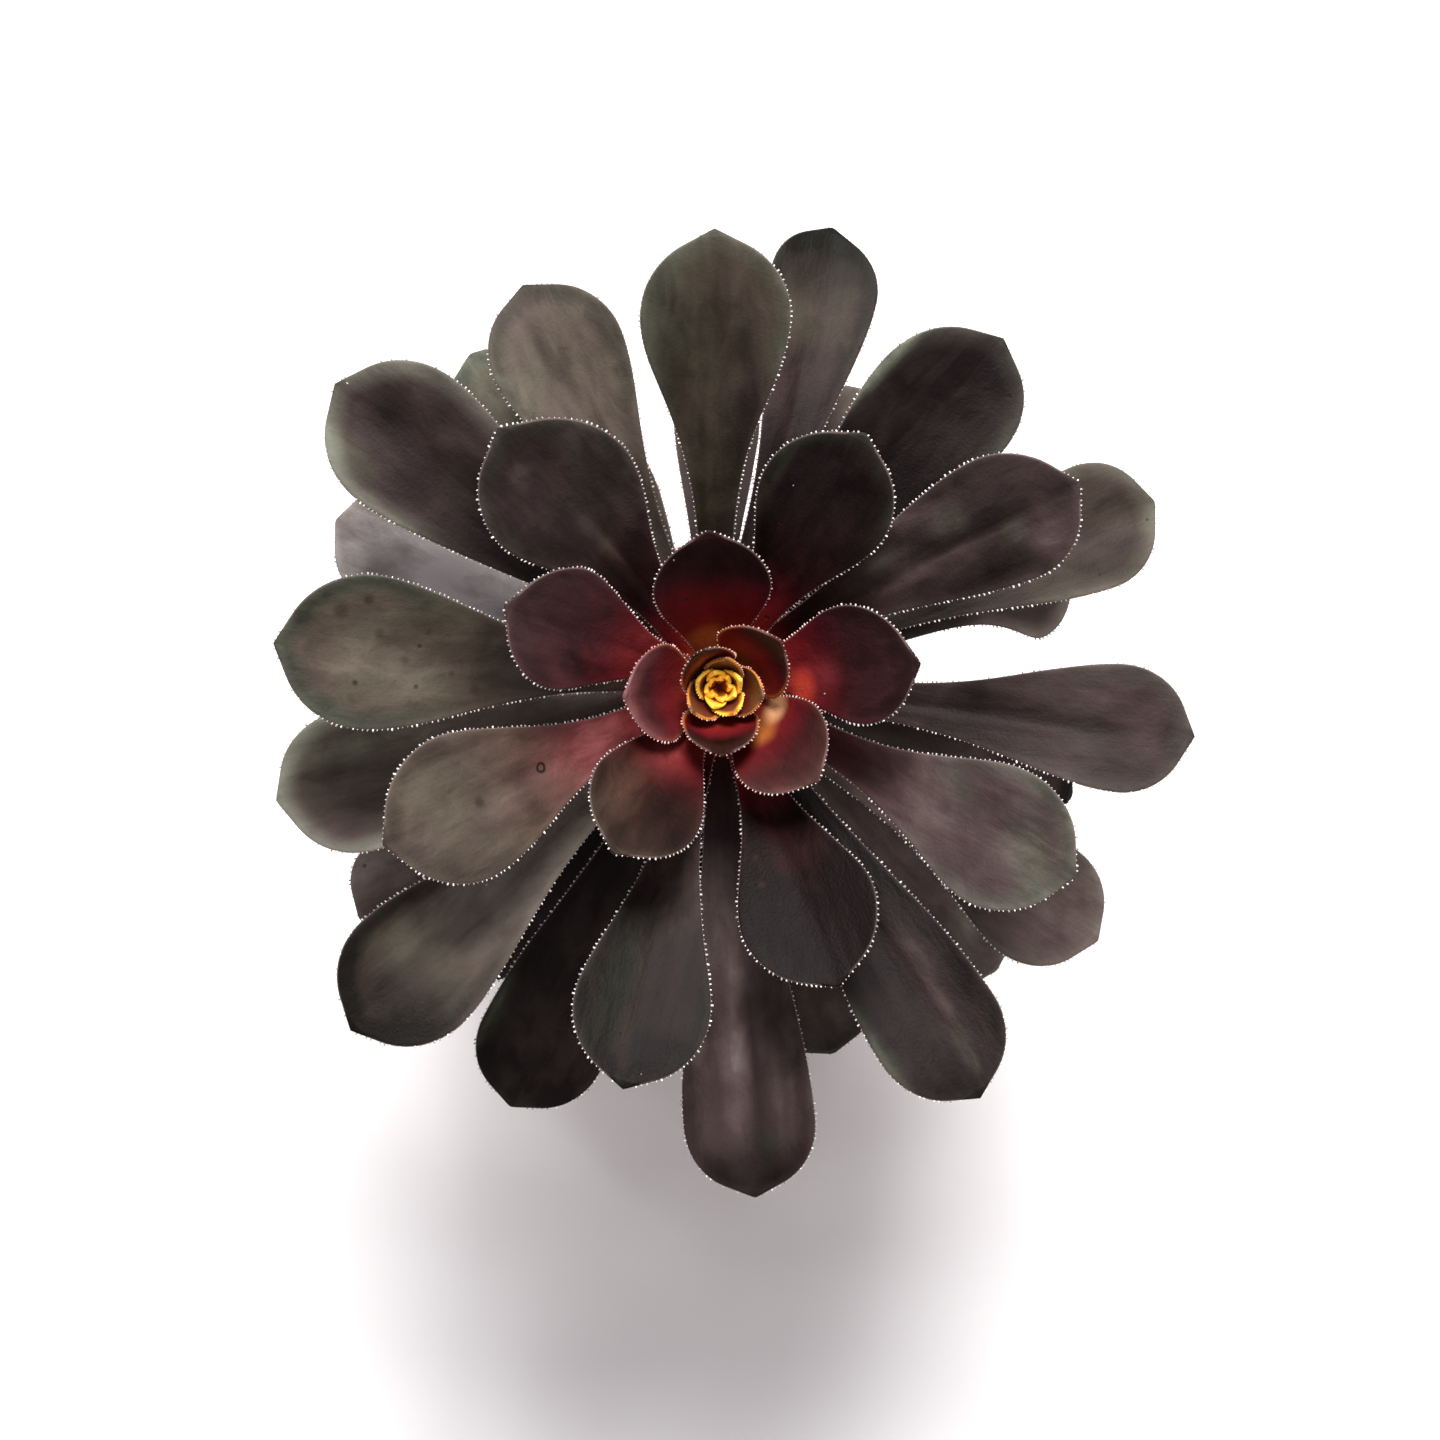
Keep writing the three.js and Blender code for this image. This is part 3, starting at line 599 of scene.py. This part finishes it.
def withFlush(board, at, color):
    # Red flush round the heart, brightening near the heart to a painted orange glow of light through the thin
    # young leaves, and its faint outer tinge
    out, high = fromApex(board)
    near = 1 - out / (at.reach * skinFinish["tingeReach"]) + (at.blotch - 0.5) * 0.15
    tinge = board.smooth(near, 0, 0.65) * board.smooth(high, -44, -24)
    color = board.mix(board.clip(tinge + at.redder), color, skinFinish["tinge"], "MULTIPLY")
    heat = 1 - out / (at.reach * skinFinish["glowReach"]) + (at.blotch - 0.5) * 0.2
    heat = heat - at.youth * board.smooth(at.share, 0.62, 1) * 0.75
    # Painted glow: the flush is made brighter towards the heart
    bright = 0.45 + at.light * 0.4 + at.lighter * 1.5 + board.smooth(heat, 0.5, 0.8) * 0.2
    glow = board.scaled(board.ramp(heat, *skinFinish["heat"]), bright)
    flush = board.smooth(heat, 0.08, 0.5) * board.smooth(high, -34, -14)
    color = board.mix(flush * (0.95 - at.light * 0.7 - at.lighter * 0.8), color, glow)
    young = board.smooth(at.youth, 0.4, 0.8) * board.smooth(heat, 0, 0.5)
    warmEdge = board.smooth(at.edge + (at.blotch - 0.5) * 1.2, 0.1, 0.9, 1, 0) * young
    return board.mix(warmEdge, color, skinFinish["ember"])


def chosenCells(board, vector, scale, channel, low, high):
    # Distance from the cells' middles, and 1 in the few cells that are chosen by a colour channel
    chosen = board.parts(board.cells(vector, scale, "Color"))[channel]
    return board.cells(vector, scale), board.smooth(chosen, low, high)


def withMarks(board, at, color):
    # Flecks, marks and dust, and the thin pale rim, partly the margin's own colour and partly a painted sheen
    # on its rounded edge
    dots, chosen = chosenCells(board, at.place, skinFinish["specks"], 0, 0.55, 0.6)
    at.speck = board.smooth(dots + (at.fine - 0.5) * 0.05, 0.035, 0.075, 1, 0) * chosen
    color = board.mix(at.speck * 0.6, color, skinFinish["speck"])
    for leaf, across, along, radius, thick, strength, finish in marks:
        away = board.vector("DISTANCE", at.place, (across, along, leaf * blade["apart"]), "Value")
        ring = board.smooth(abs(away - radius), thick * 0.2, thick, 1, 0)
        color = board.mix(ring * strength, color, skinFinish[finish])
    squeezed = board.stretch(at.place, (1, 0.6, 1))
    flakes, chosen = chosenCells(board, squeezed, skinFinish["flakes"], 1, 0.7, 0.72)
    at.flake = board.smooth(flakes, 0.016, 0.03, 1, 0) * chosen
    color = board.mix(at.flake * 0.7, color, skinFinish["dust"])
    # The pale rim: partly a painted sheen on the rounded edge
    return board.mix(board.smooth(at.edge, 0.1, 0.3, 1, 0) * 0.22, color, skinFinish["rim"])


def leafSkin():
    board = Board("leafSkin", skinFinish["gloss"])
    at = skinPoint(board)
    color = withMarks(board, at, withFlush(board, at, darkSkin(board, at)))
    roughness = skinFinish["roughness"] + (at.blotch - 0.5) * 0.16 + (at.fine - 0.5) * 0.1 + at.flake * 0.3
    height = at.fine * 0.35 + at.streak * 0.45 + at.blotch * 0.8 + at.pore * 0.12 - at.speck * 0.4
    return board.feed(color=color, roughness=roughness, normal=board.bump(height, *skinFinish["bump"]))


fringeFinish = {
    "frost": (0.90, 0.88, 0.86), "shade": (0.30, 0.26, 0.25), "pink": (0.62, 0.26, 0.20), "gloss": 0.6,
}


def fringeSkin():
    board = Board("fringeHair", fringeFinish["gloss"])
    out, _ = fromApex(board)
    # Painted glints and painted shade: the glint noise makes the hairs pale or dark at random
    glint = board.noise(board.place(), 700, 1)
    color = board.mix(board.smooth(glint, 0.4, 0.62), fringeFinish["shade"], fringeFinish["frost"])
    color = board.mix(board.smooth(out, 8, 30, 0.8, 0), color, fringeFinish["pink"])
    return board.feed(color=color, roughness=0.3 + glint * 0.2, normal=board.bump(glint, 0.2, 0.0001))


leafMaterial = leafSkin()
fringeMaterial = fringeSkin()
print("leaf finish")

for number in range(1, len(leafRows) + 1):
    leaf = leafOf(number)
    bm = newBladeMesh()
    addBlade(bm, leaf)
    addFringe(bm, leaf, random.Random(number))
    finishPiece(f"leafBlade_{number:02d}", bm, [leafMaterial, fringeMaterial], [f"leaf_{number:02d}"])
print("leaves", len(leafRows))


# Crown: the unopened leaves, down to the smallest

crown = {
    "leaves": 16, "shrink": 0.88, "length": 11, "stub": 7, "half": 5, "narrow": 0.5, "flesh": 0.8,
    "arch": -16, "rise": 81, "spread": 12, "out": 1.2, "down": 0.2, "fringed": 6, "outer": 3,
    "fringe": {"spacing": 0.7, "long": 0.4, "thick": 0.14}, "firstSeed": 60, "firstDice": 100,
}
budFinish = {
    "gold": (0.90, 0.55, 0.05), "straw": (0.95, 0.72, 0.20), "orange": (0.60, 0.20, 0.02),
    "maroon": (0.10, 0.012, 0.006), "olive": (0.12, 0.045, 0.022), "dark": (0.01, 0.003, 0.002),
    "gloss": 0.4, "glow": 0.18,
}


def crownLeaf(k):
    size = crown["shrink"] ** (k - 1)
    return SimpleNamespace(
        seed=crown["firstSeed"] + k, length=crown["stub"] + crown["length"] * size, half=crown["half"] * size,
        narrow=crown["narrow"], azimuth=math.radians(rosette["start"] - rosette["turn"] * k),
        root=(crown["out"] * size, -crown["down"]), rise=math.radians(crown["rise"] - crown["spread"] * size),
        arch=math.radians(crown["arch"]), roll=0, flare=blade["flare"], bow=0, wrap=1, flesh=crown["flesh"],
        tint=(k / crown["leaves"], 0, 0), mood=(0, 1, 1))


def budSkin():
    board = Board("budSkin", budFinish["gloss"], budFinish["glow"])
    place = board.attribute("bladePlace")
    edge, share, _ = board.parts(board.attribute("bladeForm"))
    inner = board.parts(board.attribute("bladeTint"))[0]
    blotch = board.noise(place, 0.9, 3, 0.6)
    fine = board.noise(place, 3.5, 3, 0.6)
    depth = board.smooth(share + (blotch - 0.5) * 0.2, 0.55, 0.95)
    color = board.mix(depth, budFinish["maroon"], budFinish["olive"])
    band = board.smooth(edge + (blotch - 0.5) * 0.6 - (inner - 0.1) * 5, 0.1, 0.8, 1, 0)
    color = board.mix(band * 0.85, color, budFinish["orange"])
    gold = board.smooth(edge + (fine - 0.5) * 0.4 - (inner - 0.2) * 10, -0.6, 0.3, 1, 0)
    gold = gold * board.smooth(share, 0.6, 0.78)
    color = board.mix(gold, color, budFinish["gold"])
    color = board.mix(gold * board.smooth(fine, 0.5, 0.7) * 0.6, color, budFinish["straw"])
    # Painted glow: the gold rims give off light in their own colour, standing in for light shining through
    # the thin young leaves
    glow = board.mix(gold, budFinish["dark"], color)
    normal = board.bump(fine + blotch, 0.4, 0.0003)
    return board.feed(color=color, glow=glow, roughness=0.42 + (fine - 0.5) * 0.2, normal=normal)


def budHair():
    board = Board("budHair", fringeFinish["gloss"])
    glint = board.noise(board.place(), 800, 1)
    color = board.mix(board.smooth(glint, 0.35, 0.65), budFinish["gold"], budFinish["straw"])
    return board.feed(color=color, roughness=0.35 + glint * 0.2)


def crownMesh():
    # The outer leaves have the frosty hairs of the open ones, the next golden hairs, and the inner ones none
    bm = newBladeMesh()
    for k in range(1, crown["leaves"] + 1):
        leaf = crownLeaf(k)
        part = newBladeMesh()
        addBlade(part, leaf)
        if k <= crown["fringed"]:
            dice = random.Random(crown["firstDice"] + k)
            addFringe(part, leaf, dice, slot=2 if k <= crown["outer"] else 1, **crown["fringe"])
        addTo(bm, part)
    return bm


finishPiece("crownBud", crownMesh(), [budSkin(), budHair(), fringeMaterial], ["crown"])
print("crown")


# Stem: bark with the scars of shed leaves

barkFinish = {  # grains: stretch, how many to the metre, detail, roughness
    "bark": (0.150, 0.112, 0.080), "deep": (0.050, 0.034, 0.024), "scar": (0.245, 0.195, 0.140),
    "lip": (0.085, 0.058, 0.040), "fresh": (0.085, 0.075, 0.040), "dot": (0.045, 0.028, 0.018),
    "grains": {
        "broad": ((1, 1, 1), 90, 3, 0.6), "grain": ((1, 1, 0.3), 900, 5, 0.65),
        "fine": ((1, 1, 1), 2600, 3, 0.6),
    },
    "freshSpan": (30, 62), "dots": (-0.42, 0, 0.42), "gloss": 0.3,
}


def scarAt(angle, below):
    # How deep the bark is scarred here, and where in the nearest scar this is
    nearest = round((below - stem["scarFirst"]) / stem["scarPitch"])
    scars = [stem["unscarred"]]
    for k in range(max(nearest - 2, 0), nearest + 3):
        away = angle - math.radians(rosette["turn"] * k)
        across = math.atan2(math.sin(away), math.cos(away)) * stem["woody"] / stem["scarWide"]
        along = (below - stem["scarFirst"] - k * stem["scarPitch"]) / stem["scarTall"]
        scars.append((1 - across * across - along * along, across, along))
    return max(scars, key=lambda scar: scar[0])


def stemCourse():
    # Points along the stem's line, from the tip to its foot, a fixed distance apart, with their directions
    neck = apex - axis * stem["neck"]
    knots = Vector(stem["foot"]), Vector(stem["back"]), neck - axis * stem["forward"], neck
    line = [*geometry.interpolate_bezier(*knots, stem["curveSteps"]), apex]
    runs = [0]
    for a, b in zip(line, line[1:]):
        runs.append(runs[-1] + (b - a).length)
    course, k = [], 0
    for step in range(stem["rings"] + 1):
        run = runs[-1] * step / stem["rings"]
        while k < len(line) - 2 and runs[k + 1] < run:
            k += 1
        share = (run - runs[k]) / (runs[k + 1] - runs[k])
        before, after = line[max(k - 1, 0)], line[min(k + 2, len(line) - 1)]
        course.append((line[k].lerp(line[k + 1], share), (after - before).normalized(), runs[-1] - run))
    return course[::-1]


def barkSkin():
    board = Board("barkSkin", barkFinish["gloss"])
    spot = board.place()
    scarDepth, across, along = board.parts(board.attribute("scarPlace"))
    below = board.attribute("stemBelow", "Fac")
    broad, grain, fine = board.grains(spot, barkFinish["grains"])
    ridges = board.smooth(grain + (broad - 0.5) * 0.5, 0.35, 0.65)
    color = board.mix(ridges, barkFinish["deep"], barkFinish["bark"])
    color = board.mix(board.smooth(below, *barkFinish["freshSpan"], 0.8, 0), color, barkFinish["fresh"])
    inside = board.smooth(scarDepth + (grain - 0.5) * 0.5 + (fine - 0.5) * 0.3, 0.16, 0.44)
    color = board.mix(inside * 0.5, color, barkFinish["scar"])
    lip = board.smooth(scarDepth, 0.02, 0.12) * board.smooth(scarDepth, 0.12, 0.26, 1, 0)
    color = board.mix(lip * 0.8, color, barkFinish["lip"])
    height = grain * 0.6 + fine * 0.3 + broad * 0.5
    for x in barkFinish["dots"]:
        dx, dy = across - x, along + 0.05
        dot = board.smooth(dx * dx + dy * dy * 0.5, 0.004, 0.022, 1, 0) * inside
        color = board.mix(dot * 0.5, color, barkFinish["dot"])
        height = height - dot * 0.3
    color = board.mix(board.smooth(broad, 0.55, 0.75) * 0.3, color, barkFinish["scar"])
    roughness = 0.78 + (grain - 0.5) * 0.2
    return board.feed(color=color, roughness=roughness, normal=board.bump(height, 0.7, 0.0007))


def barkRelief(angle, below, depth):
    # How far the bark stands out, or is sunk in a scar with a lip round it
    scar = stem["scarLip"] * bell(depth - 0.02, 0.09) - stem["scarDepth"] * ease(depth, 0, 0.3)
    (knotRound, knotAlong), (grainRound, grainAlong) = stem["knotPitch"], stem["grainPitch"]
    knots = stem["knots"] * ripple(*onRing(knotRound, angle, below * knotAlong))
    return scar + knots + stem["grain"] * ripple(*onRing(grainRound, angle, below * grainAlong))


def stemMesh():
    bm = bmesh.new()
    scarPlace = bm.verts.layers.float_vector.new("scarPlace")
    stemBelow = bm.verts.layers.float.new("stemBelow")
    course = stemCourse()
    for vert, index, angle in ringedBall(bm, stem["around"], stem["rings"]):
        point, ahead, below = course[index]
        depth, across, along = scarAt(angle, below)
        pole = index in (0, stem["rings"])
        radius = 0 if pole else stemRadius(below) + barkRelief(angle, below, depth)
        vert.co = (point + up.rotation_difference(ahead) @ onRing(radius, angle)) * mm
        vert[scarPlace] = (depth, across, along)
        vert[stemBelow] = below
    return bm


finishPiece("stemBark", stemMesh(), [barkSkin()], ["stem"])
print("stem")


# Pot: thrown clay with drain holes

pot = {  # rounding: how far each corner of the profile is rounded
    "height": 80, "rim": 45, "foot": 31, "wall": 4.5, "floor": 6, "band": 19, "step": 3.5, "draft": 1,
    "around": 128, "drains": 3, "drainRadius": 4.5, "drainRing": 16, "drainSides": 40,
    "rounding": {1: 0.9, 3: 0.9, 4: 1.4, 5: 1.2, 6: 1.4}, "roundSteps": 4, "smoothBelow": 40,
}
clayFinish = {  # grains: stretch, how many to the metre, detail, roughness, distortion
    "clay": (0.430, 0.158, 0.074), "light": (0.560, 0.265, 0.150), "deep": (0.270, 0.088, 0.042),
    "bloom": (0.660, 0.560, 0.470), "damp": (0.190, 0.070, 0.036),
    "grains": {
        "broad": ((1, 1, 1), 22, 4, 0.55, 0.5), "grain": ((1, 1, 1), 420, 5, 0.7),
        "throwing": ((0.02, 0.02, 1), 520, 3, 0.6), "salt": ((1, 1, 1), 55, 6, 0.7, 1.2),
    },
    "pits": 650, "gloss": 0.25,
}


def saltBloom(board, salt, height):
    # A ragged tide of salts on the middle of the wall, and a few loose patches
    low = board.smooth(height + (salt - 0.5) * 46, 24, 38)
    high = board.smooth(height + (salt - 0.5) * 30, 44, 66, 1, 0)
    return board.clip(low * high * board.smooth(salt, 0.46, 0.62) + board.smooth(salt, 0.60, 0.72) * 0.7)


def claySkin():
    board = Board("claySkin", clayFinish["gloss"])
    spot = board.place()
    height = board.parts(spot)[2] / mm
    broad, grain, throwing, salt = board.grains(spot, clayFinish["grains"])
    fired = board.smooth(broad + (throwing - 0.5) * 0.5, 0.3, 0.7)
    color = board.mix(fired, clayFinish["deep"], clayFinish["clay"])
    color = board.mix(board.smooth(grain, 0.45, 0.7) * 0.5, color, clayFinish["light"])
    damp = board.smooth(height + (broad - 0.5) * 40, 12, 40, 1, 0)
    color = board.mix(damp * 0.35, color, clayFinish["damp"])
    bloom = saltBloom(board, salt, height)
    color = board.mix(bloom * 0.6, color, clayFinish["bloom"])
    pit = board.smooth(board.cells(spot, clayFinish["pits"]), 0.08, 0.2, 1, 0)
    color = board.mix(pit * 0.4, color, clayFinish["deep"])
    relief = grain * 0.5 + throwing * 1.1 - pit * 0.4 + bloom * 0.15
    roughness = 0.86 - damp * 0.12 + (grain - 0.5) * 0.12
    return board.feed(color=color, roughness=roughness, normal=board.bump(relief, 0.6, 0.0004))


def potMesh():
    foot, rim, wall, height = (pot[key] for key in ("foot", "rim", "wall", "height"))
    bandFoot = height - pot["band"]
    profile = [
        (0, 0), (foot, 0), (rim - pot["step"], bandFoot), (rim - pot["draft"], bandFoot),
        (rim, height), (rim - wall, height), (foot - wall, pot["floor"]), (0, pot["floor"]),
    ]
    bm = bmesh.new()
    verts = [bm.verts.new((r * mm, 0, z * mm)) for r, z in profile]
    edges = [bm.edges.new(pair) for pair in zip(verts, verts[1:])]
    bmesh.ops.spin(bm, geom=verts + edges, axis=(0, 0, 1), cent=(0, 0, 0), angle=2 * math.pi,
                   steps=pot["around"], use_merge=True)
    bmesh.ops.remove_doubles(bm, verts=bm.verts, dist=1e-6)
    bmesh.ops.recalc_face_normals(bm, faces=bm.faces)
    for corner, width in pot["rounding"].items():
        r, z = (c * mm for c in profile[corner])
        ring = [e for e in bm.edges if all(
            abs(math.hypot(v.co.x, v.co.y) - r) < 1e-6 and abs(v.co.z - z) < 1e-6 for v in e.verts)]
        bmesh.ops.bevel(bm, geom=ring, offset=width * mm, segments=pot["roundSteps"], profile=0.5,
                        affect="EDGES", material=-1)
    return bm


def drilled(bm):
    # The drain holes are cut from the floor of the pot
    shell = meshObject("shell", bm)
    drills = []
    radius, length = pot["drainRadius"] * mm, pot["floor"] * 3 * mm
    for k in range(pot["drains"]):
        at = onRing(pot["drainRing"], 2 * math.pi * k / pot["drains"], pot["floor"] / 2) * mm
        drill = bmesh.new()
        bmesh.ops.create_cone(drill, segments=pot["drainSides"], radius1=radius, radius2=radius, depth=length,
                              cap_ends=True, matrix=Matrix.Translation(at))
        drills.append(meshObject("drill", drill))
        cut = shell.modifiers.new("drain", "BOOLEAN")
        cut.operation, cut.solver, cut.object = "DIFFERENCE", "EXACT", drills[-1]
    bpy.context.view_layer.update()
    finished = bmesh.new()
    finished.from_object(shell, bpy.context.evaluated_depsgraph_get())
    for made in [shell, *drills]:
        bpy.data.objects.remove(made)
    return finished


piece = finishPiece("clayPot", drilled(potMesh()), [claySkin()], ["pot"])
piece.data.set_sharp_from_angle(angle=math.radians(pot["smoothBelow"]))
print("pot")


# Soil: loam with loose grit on it

soil = {  # crumbs: ripples to the millimetre, height and place in the noise
    "surface": 72, "bottom": 6.3, "foot": 24.5, "edge": 38.7, "mound": 2.5, "lump": 0.8,
    "around": 160, "rings": 120, "crumbs": ((0.25, 0.9, 3), (0.7, 0.55, 8), (1.9, 0.3, 5)),
    "grit": 520, "gritSizes": (0.5, 1.7), "gritBias": 2.5, "gritSunk": 0.2, "gritMargin": 1.2,
}
soilFinish = {  # grains: stretch, how many to the metre, detail, roughness
    "loam": (0.040, 0.024, 0.014), "dry": (0.105, 0.070, 0.044), "crumbGapDark": (0.014, 0.009, 0.006),
    "stone": (0.30, 0.26, 0.21), "pumice": (0.62, 0.58, 0.51), "bark": (0.110, 0.052, 0.026),
    "grains": {"broad": ((1, 1, 1), 70, 4, 0.6), "fine": ((1, 1, 1), 1500, 4, 0.7)},
    "crumbs": 620, "gritGrain": 1400, "gloss": 0.3,
}


def soilHigh(x, y):
    share = math.hypot(x, y) / soil["edge"]
    lumps = math.sin(x * 0.42) * math.cos(y * 0.37) + 0.6 * math.sin(x * 0.9 + y * 0.7)
    high = soil["surface"] + soil["mound"] * (1 - share ** 2) + soil["lump"] * lumps * (1 - share ** 6)
    for pitch, tall, seed in soil["crumbs"]:
        high += tall * ripple(x * pitch, y * pitch, seed)
    return high


def soilSkin():
    board = Board("soilLoam", soilFinish["gloss"])
    spot = board.place()
    broad, fine = board.grains(spot, soilFinish["grains"])
    crumb = board.cells(spot, soilFinish["crumbs"])
    dried = board.smooth(broad + (fine - 0.5) * 0.5, 0.4, 0.65)
    color = board.mix(dried, soilFinish["loam"], soilFinish["dry"])
    # Darker in the low gaps between crumbs
    color = board.mix(board.smooth(crumb, 0.3, 0.65) * 0.7, color, soilFinish["crumbGapDark"])
    normal = board.bump(fine * 0.5 - crumb * 0.9, 0.8, 0.001)
    return board.feed(color=color, roughness=0.88 + (fine - 0.5) * 0.15, normal=normal)


def gritSkin():
    board = Board("soilGrit", soilFinish["gloss"])
    kind = board.attribute("gritKind", "Fac")
    fine = board.noise(board.place(), soilFinish["gritGrain"], 4, 0.7)
    color = board.ramp(kind, (0, soilFinish["bark"]), (0.4, soilFinish["loam"]), (0.6, soilFinish["stone"]),
                       (1, soilFinish["pumice"]))
    color = board.mix(board.smooth(fine, 0.4, 0.7) * 0.35, color, soilFinish["dry"])
    return board.feed(color=color, roughness=0.85 + (fine - 0.5) * 0.2, normal=board.bump(fine, 0.6, 0.0005))


def soilMesh():
    # The upper half of the ball is the lumpy top, the lower half the wall and the bottom inside the pot
    bm = bmesh.new()
    half = soil["rings"] // 2
    for vert, index, angle in ringedBall(bm, soil["around"], soil["rings"]):
        if index <= half:
            spot = onRing(soil["edge"] * index / half, angle)
            spot.z = soilHigh(spot.x, spot.y)
        else:
            share = (index - half) / half
            wall = min(share * 2, 1)
            inward = min(2 - 2 * share, 1)
            high = lerp(soil["surface"], soil["bottom"], wall)
            spot = onRing(lerp(soil["edge"], soil["foot"], wall) * inward, angle, high)
        vert.co = spot * mm
    return bm


def gritMesh(dice):
    stones = bmesh.new()
    gritKind = stones.verts.layers.float.new("gritKind")
    for _ in range(soil["grit"]):
        reach = (soil["edge"] - soil["gritMargin"]) * math.sqrt(dice.random())
        spot = onRing(reach, dice.uniform(0, 2 * math.pi))
        size = lerp(*soil["gritSizes"], dice.random() ** soil["gritBias"])
        shape = Matrix.Diagonal((dice.uniform(0.7, 1.3), dice.uniform(0.6, 1.1), dice.uniform(0.5, 0.9), 1))
        turned = Quaternion([dice.gauss(0, 1) for _ in range(4)]).normalized().to_matrix().to_4x4()
        spot.z = soilHigh(spot.x, spot.y) + size * soil["gritSunk"]
        stone = bmesh.ops.create_icosphere(
            stones, subdivisions=1, radius=size * mm, matrix=Matrix.Translation(spot * mm) @ turned @ shape)
        kind = dice.random()
        for vert in stone["verts"]:
            vert[gritKind] = kind
    for face in stones.faces:
        face.material_index = 1
    return stones


bm = soilMesh()
addTo(bm, gritMesh(random.Random(7)))
finishPiece("soilTop", bm, [soilSkin(), gritSkin()], ["soil"])
print("soil")


# Stage, light and camera

stage = {
    "floor": 4.0, "floorSquares": 8, "floorColor": (0.87, 0.86, 0.865), "floorShade": 0.985,
    "floorGloss": 0.2, "world": 0.40, "worldColor": (1, 0.93, 0.955),
}
lamps = {  # place, what it looks at, size, watts, colour
    "key": ((0.10, 1.0, 1.83), (0, 0, 0.15), 0.8, 80, (1, 0.99, 0.98)),
    "fill": ((0.7, -0.5, 0.8), (0, 0, 0.15), 0.9, 1.5, (0.97, 0.98, 1)),
}
view = {  # degrees above level, millimetres from the target, the lens, and the drop in pixels of the picture
    "elevation": 84, "away": 600, "target": (0.28, 0.77, 197.9), "lens": 83.33, "sensor": 36,
    "drop": -32, "picture": 1440, "reach": 20,
}


def floorSkin():
    board = Board("floorPaper", stage["floorGloss"])
    grain = board.noise(board.place(), 3, 3)
    shade = [stage["floorShade"] * c for c in stage["floorColor"]]
    color = board.mix(board.smooth(grain, 0.3, 0.7), stage["floorColor"], shade)
    return board.feed(color=color, roughness=0.8 + grain * 0.1)


def addLamp(name, spot, target, size, watts, color):
    lamp = bpy.data.lights.new(name, "AREA")
    lamp.size, lamp.energy, lamp.color = size, watts, color
    holder = bpy.data.objects.new(name, lamp)
    holder.location = spot
    holder.rotation_euler = (Vector(target) - Vector(spot)).to_track_quat("-Z", "Y").to_euler()
    scene.collection.objects.link(holder)


def addCamera():
    tilt = math.radians(view["elevation"])
    back = Vector((0, -math.cos(tilt), math.sin(tilt)))
    camera = bpy.data.objects.new("camera", bpy.data.cameras.new("camera"))
    camera.data.sensor_width = view["sensor"]
    camera.data.lens = view["lens"]
    camera.data.shift_y = view["drop"] / view["picture"]
    camera.data.clip_end = view["reach"]
    camera.location = (Vector(view["target"]) + back * view["away"]) * mm
    camera.rotation_euler = (-back).to_track_quat("-Z", "Y").to_euler()
    scene.collection.objects.link(camera)
    scene.camera = camera


bm = bmesh.new()
squares = stage["floorSquares"]
bmesh.ops.create_grid(bm, x_segments=squares, y_segments=squares, size=stage["floor"] / 2)
floor = meshObject("floor", bm, floorSkin())

world = bpy.data.worlds.new("studio")
world.use_nodes = True
backdrop = world.node_tree.nodes["Background"].inputs
backdrop["Color"].default_value = (*stage["worldColor"], 1)
backdrop["Strength"].default_value = stage["world"]
scene.world = world
scene.view_settings.view_transform = "Standard"
for name, lamp in lamps.items():
    addLamp(name, *lamp)
addCamera()
print("stage")
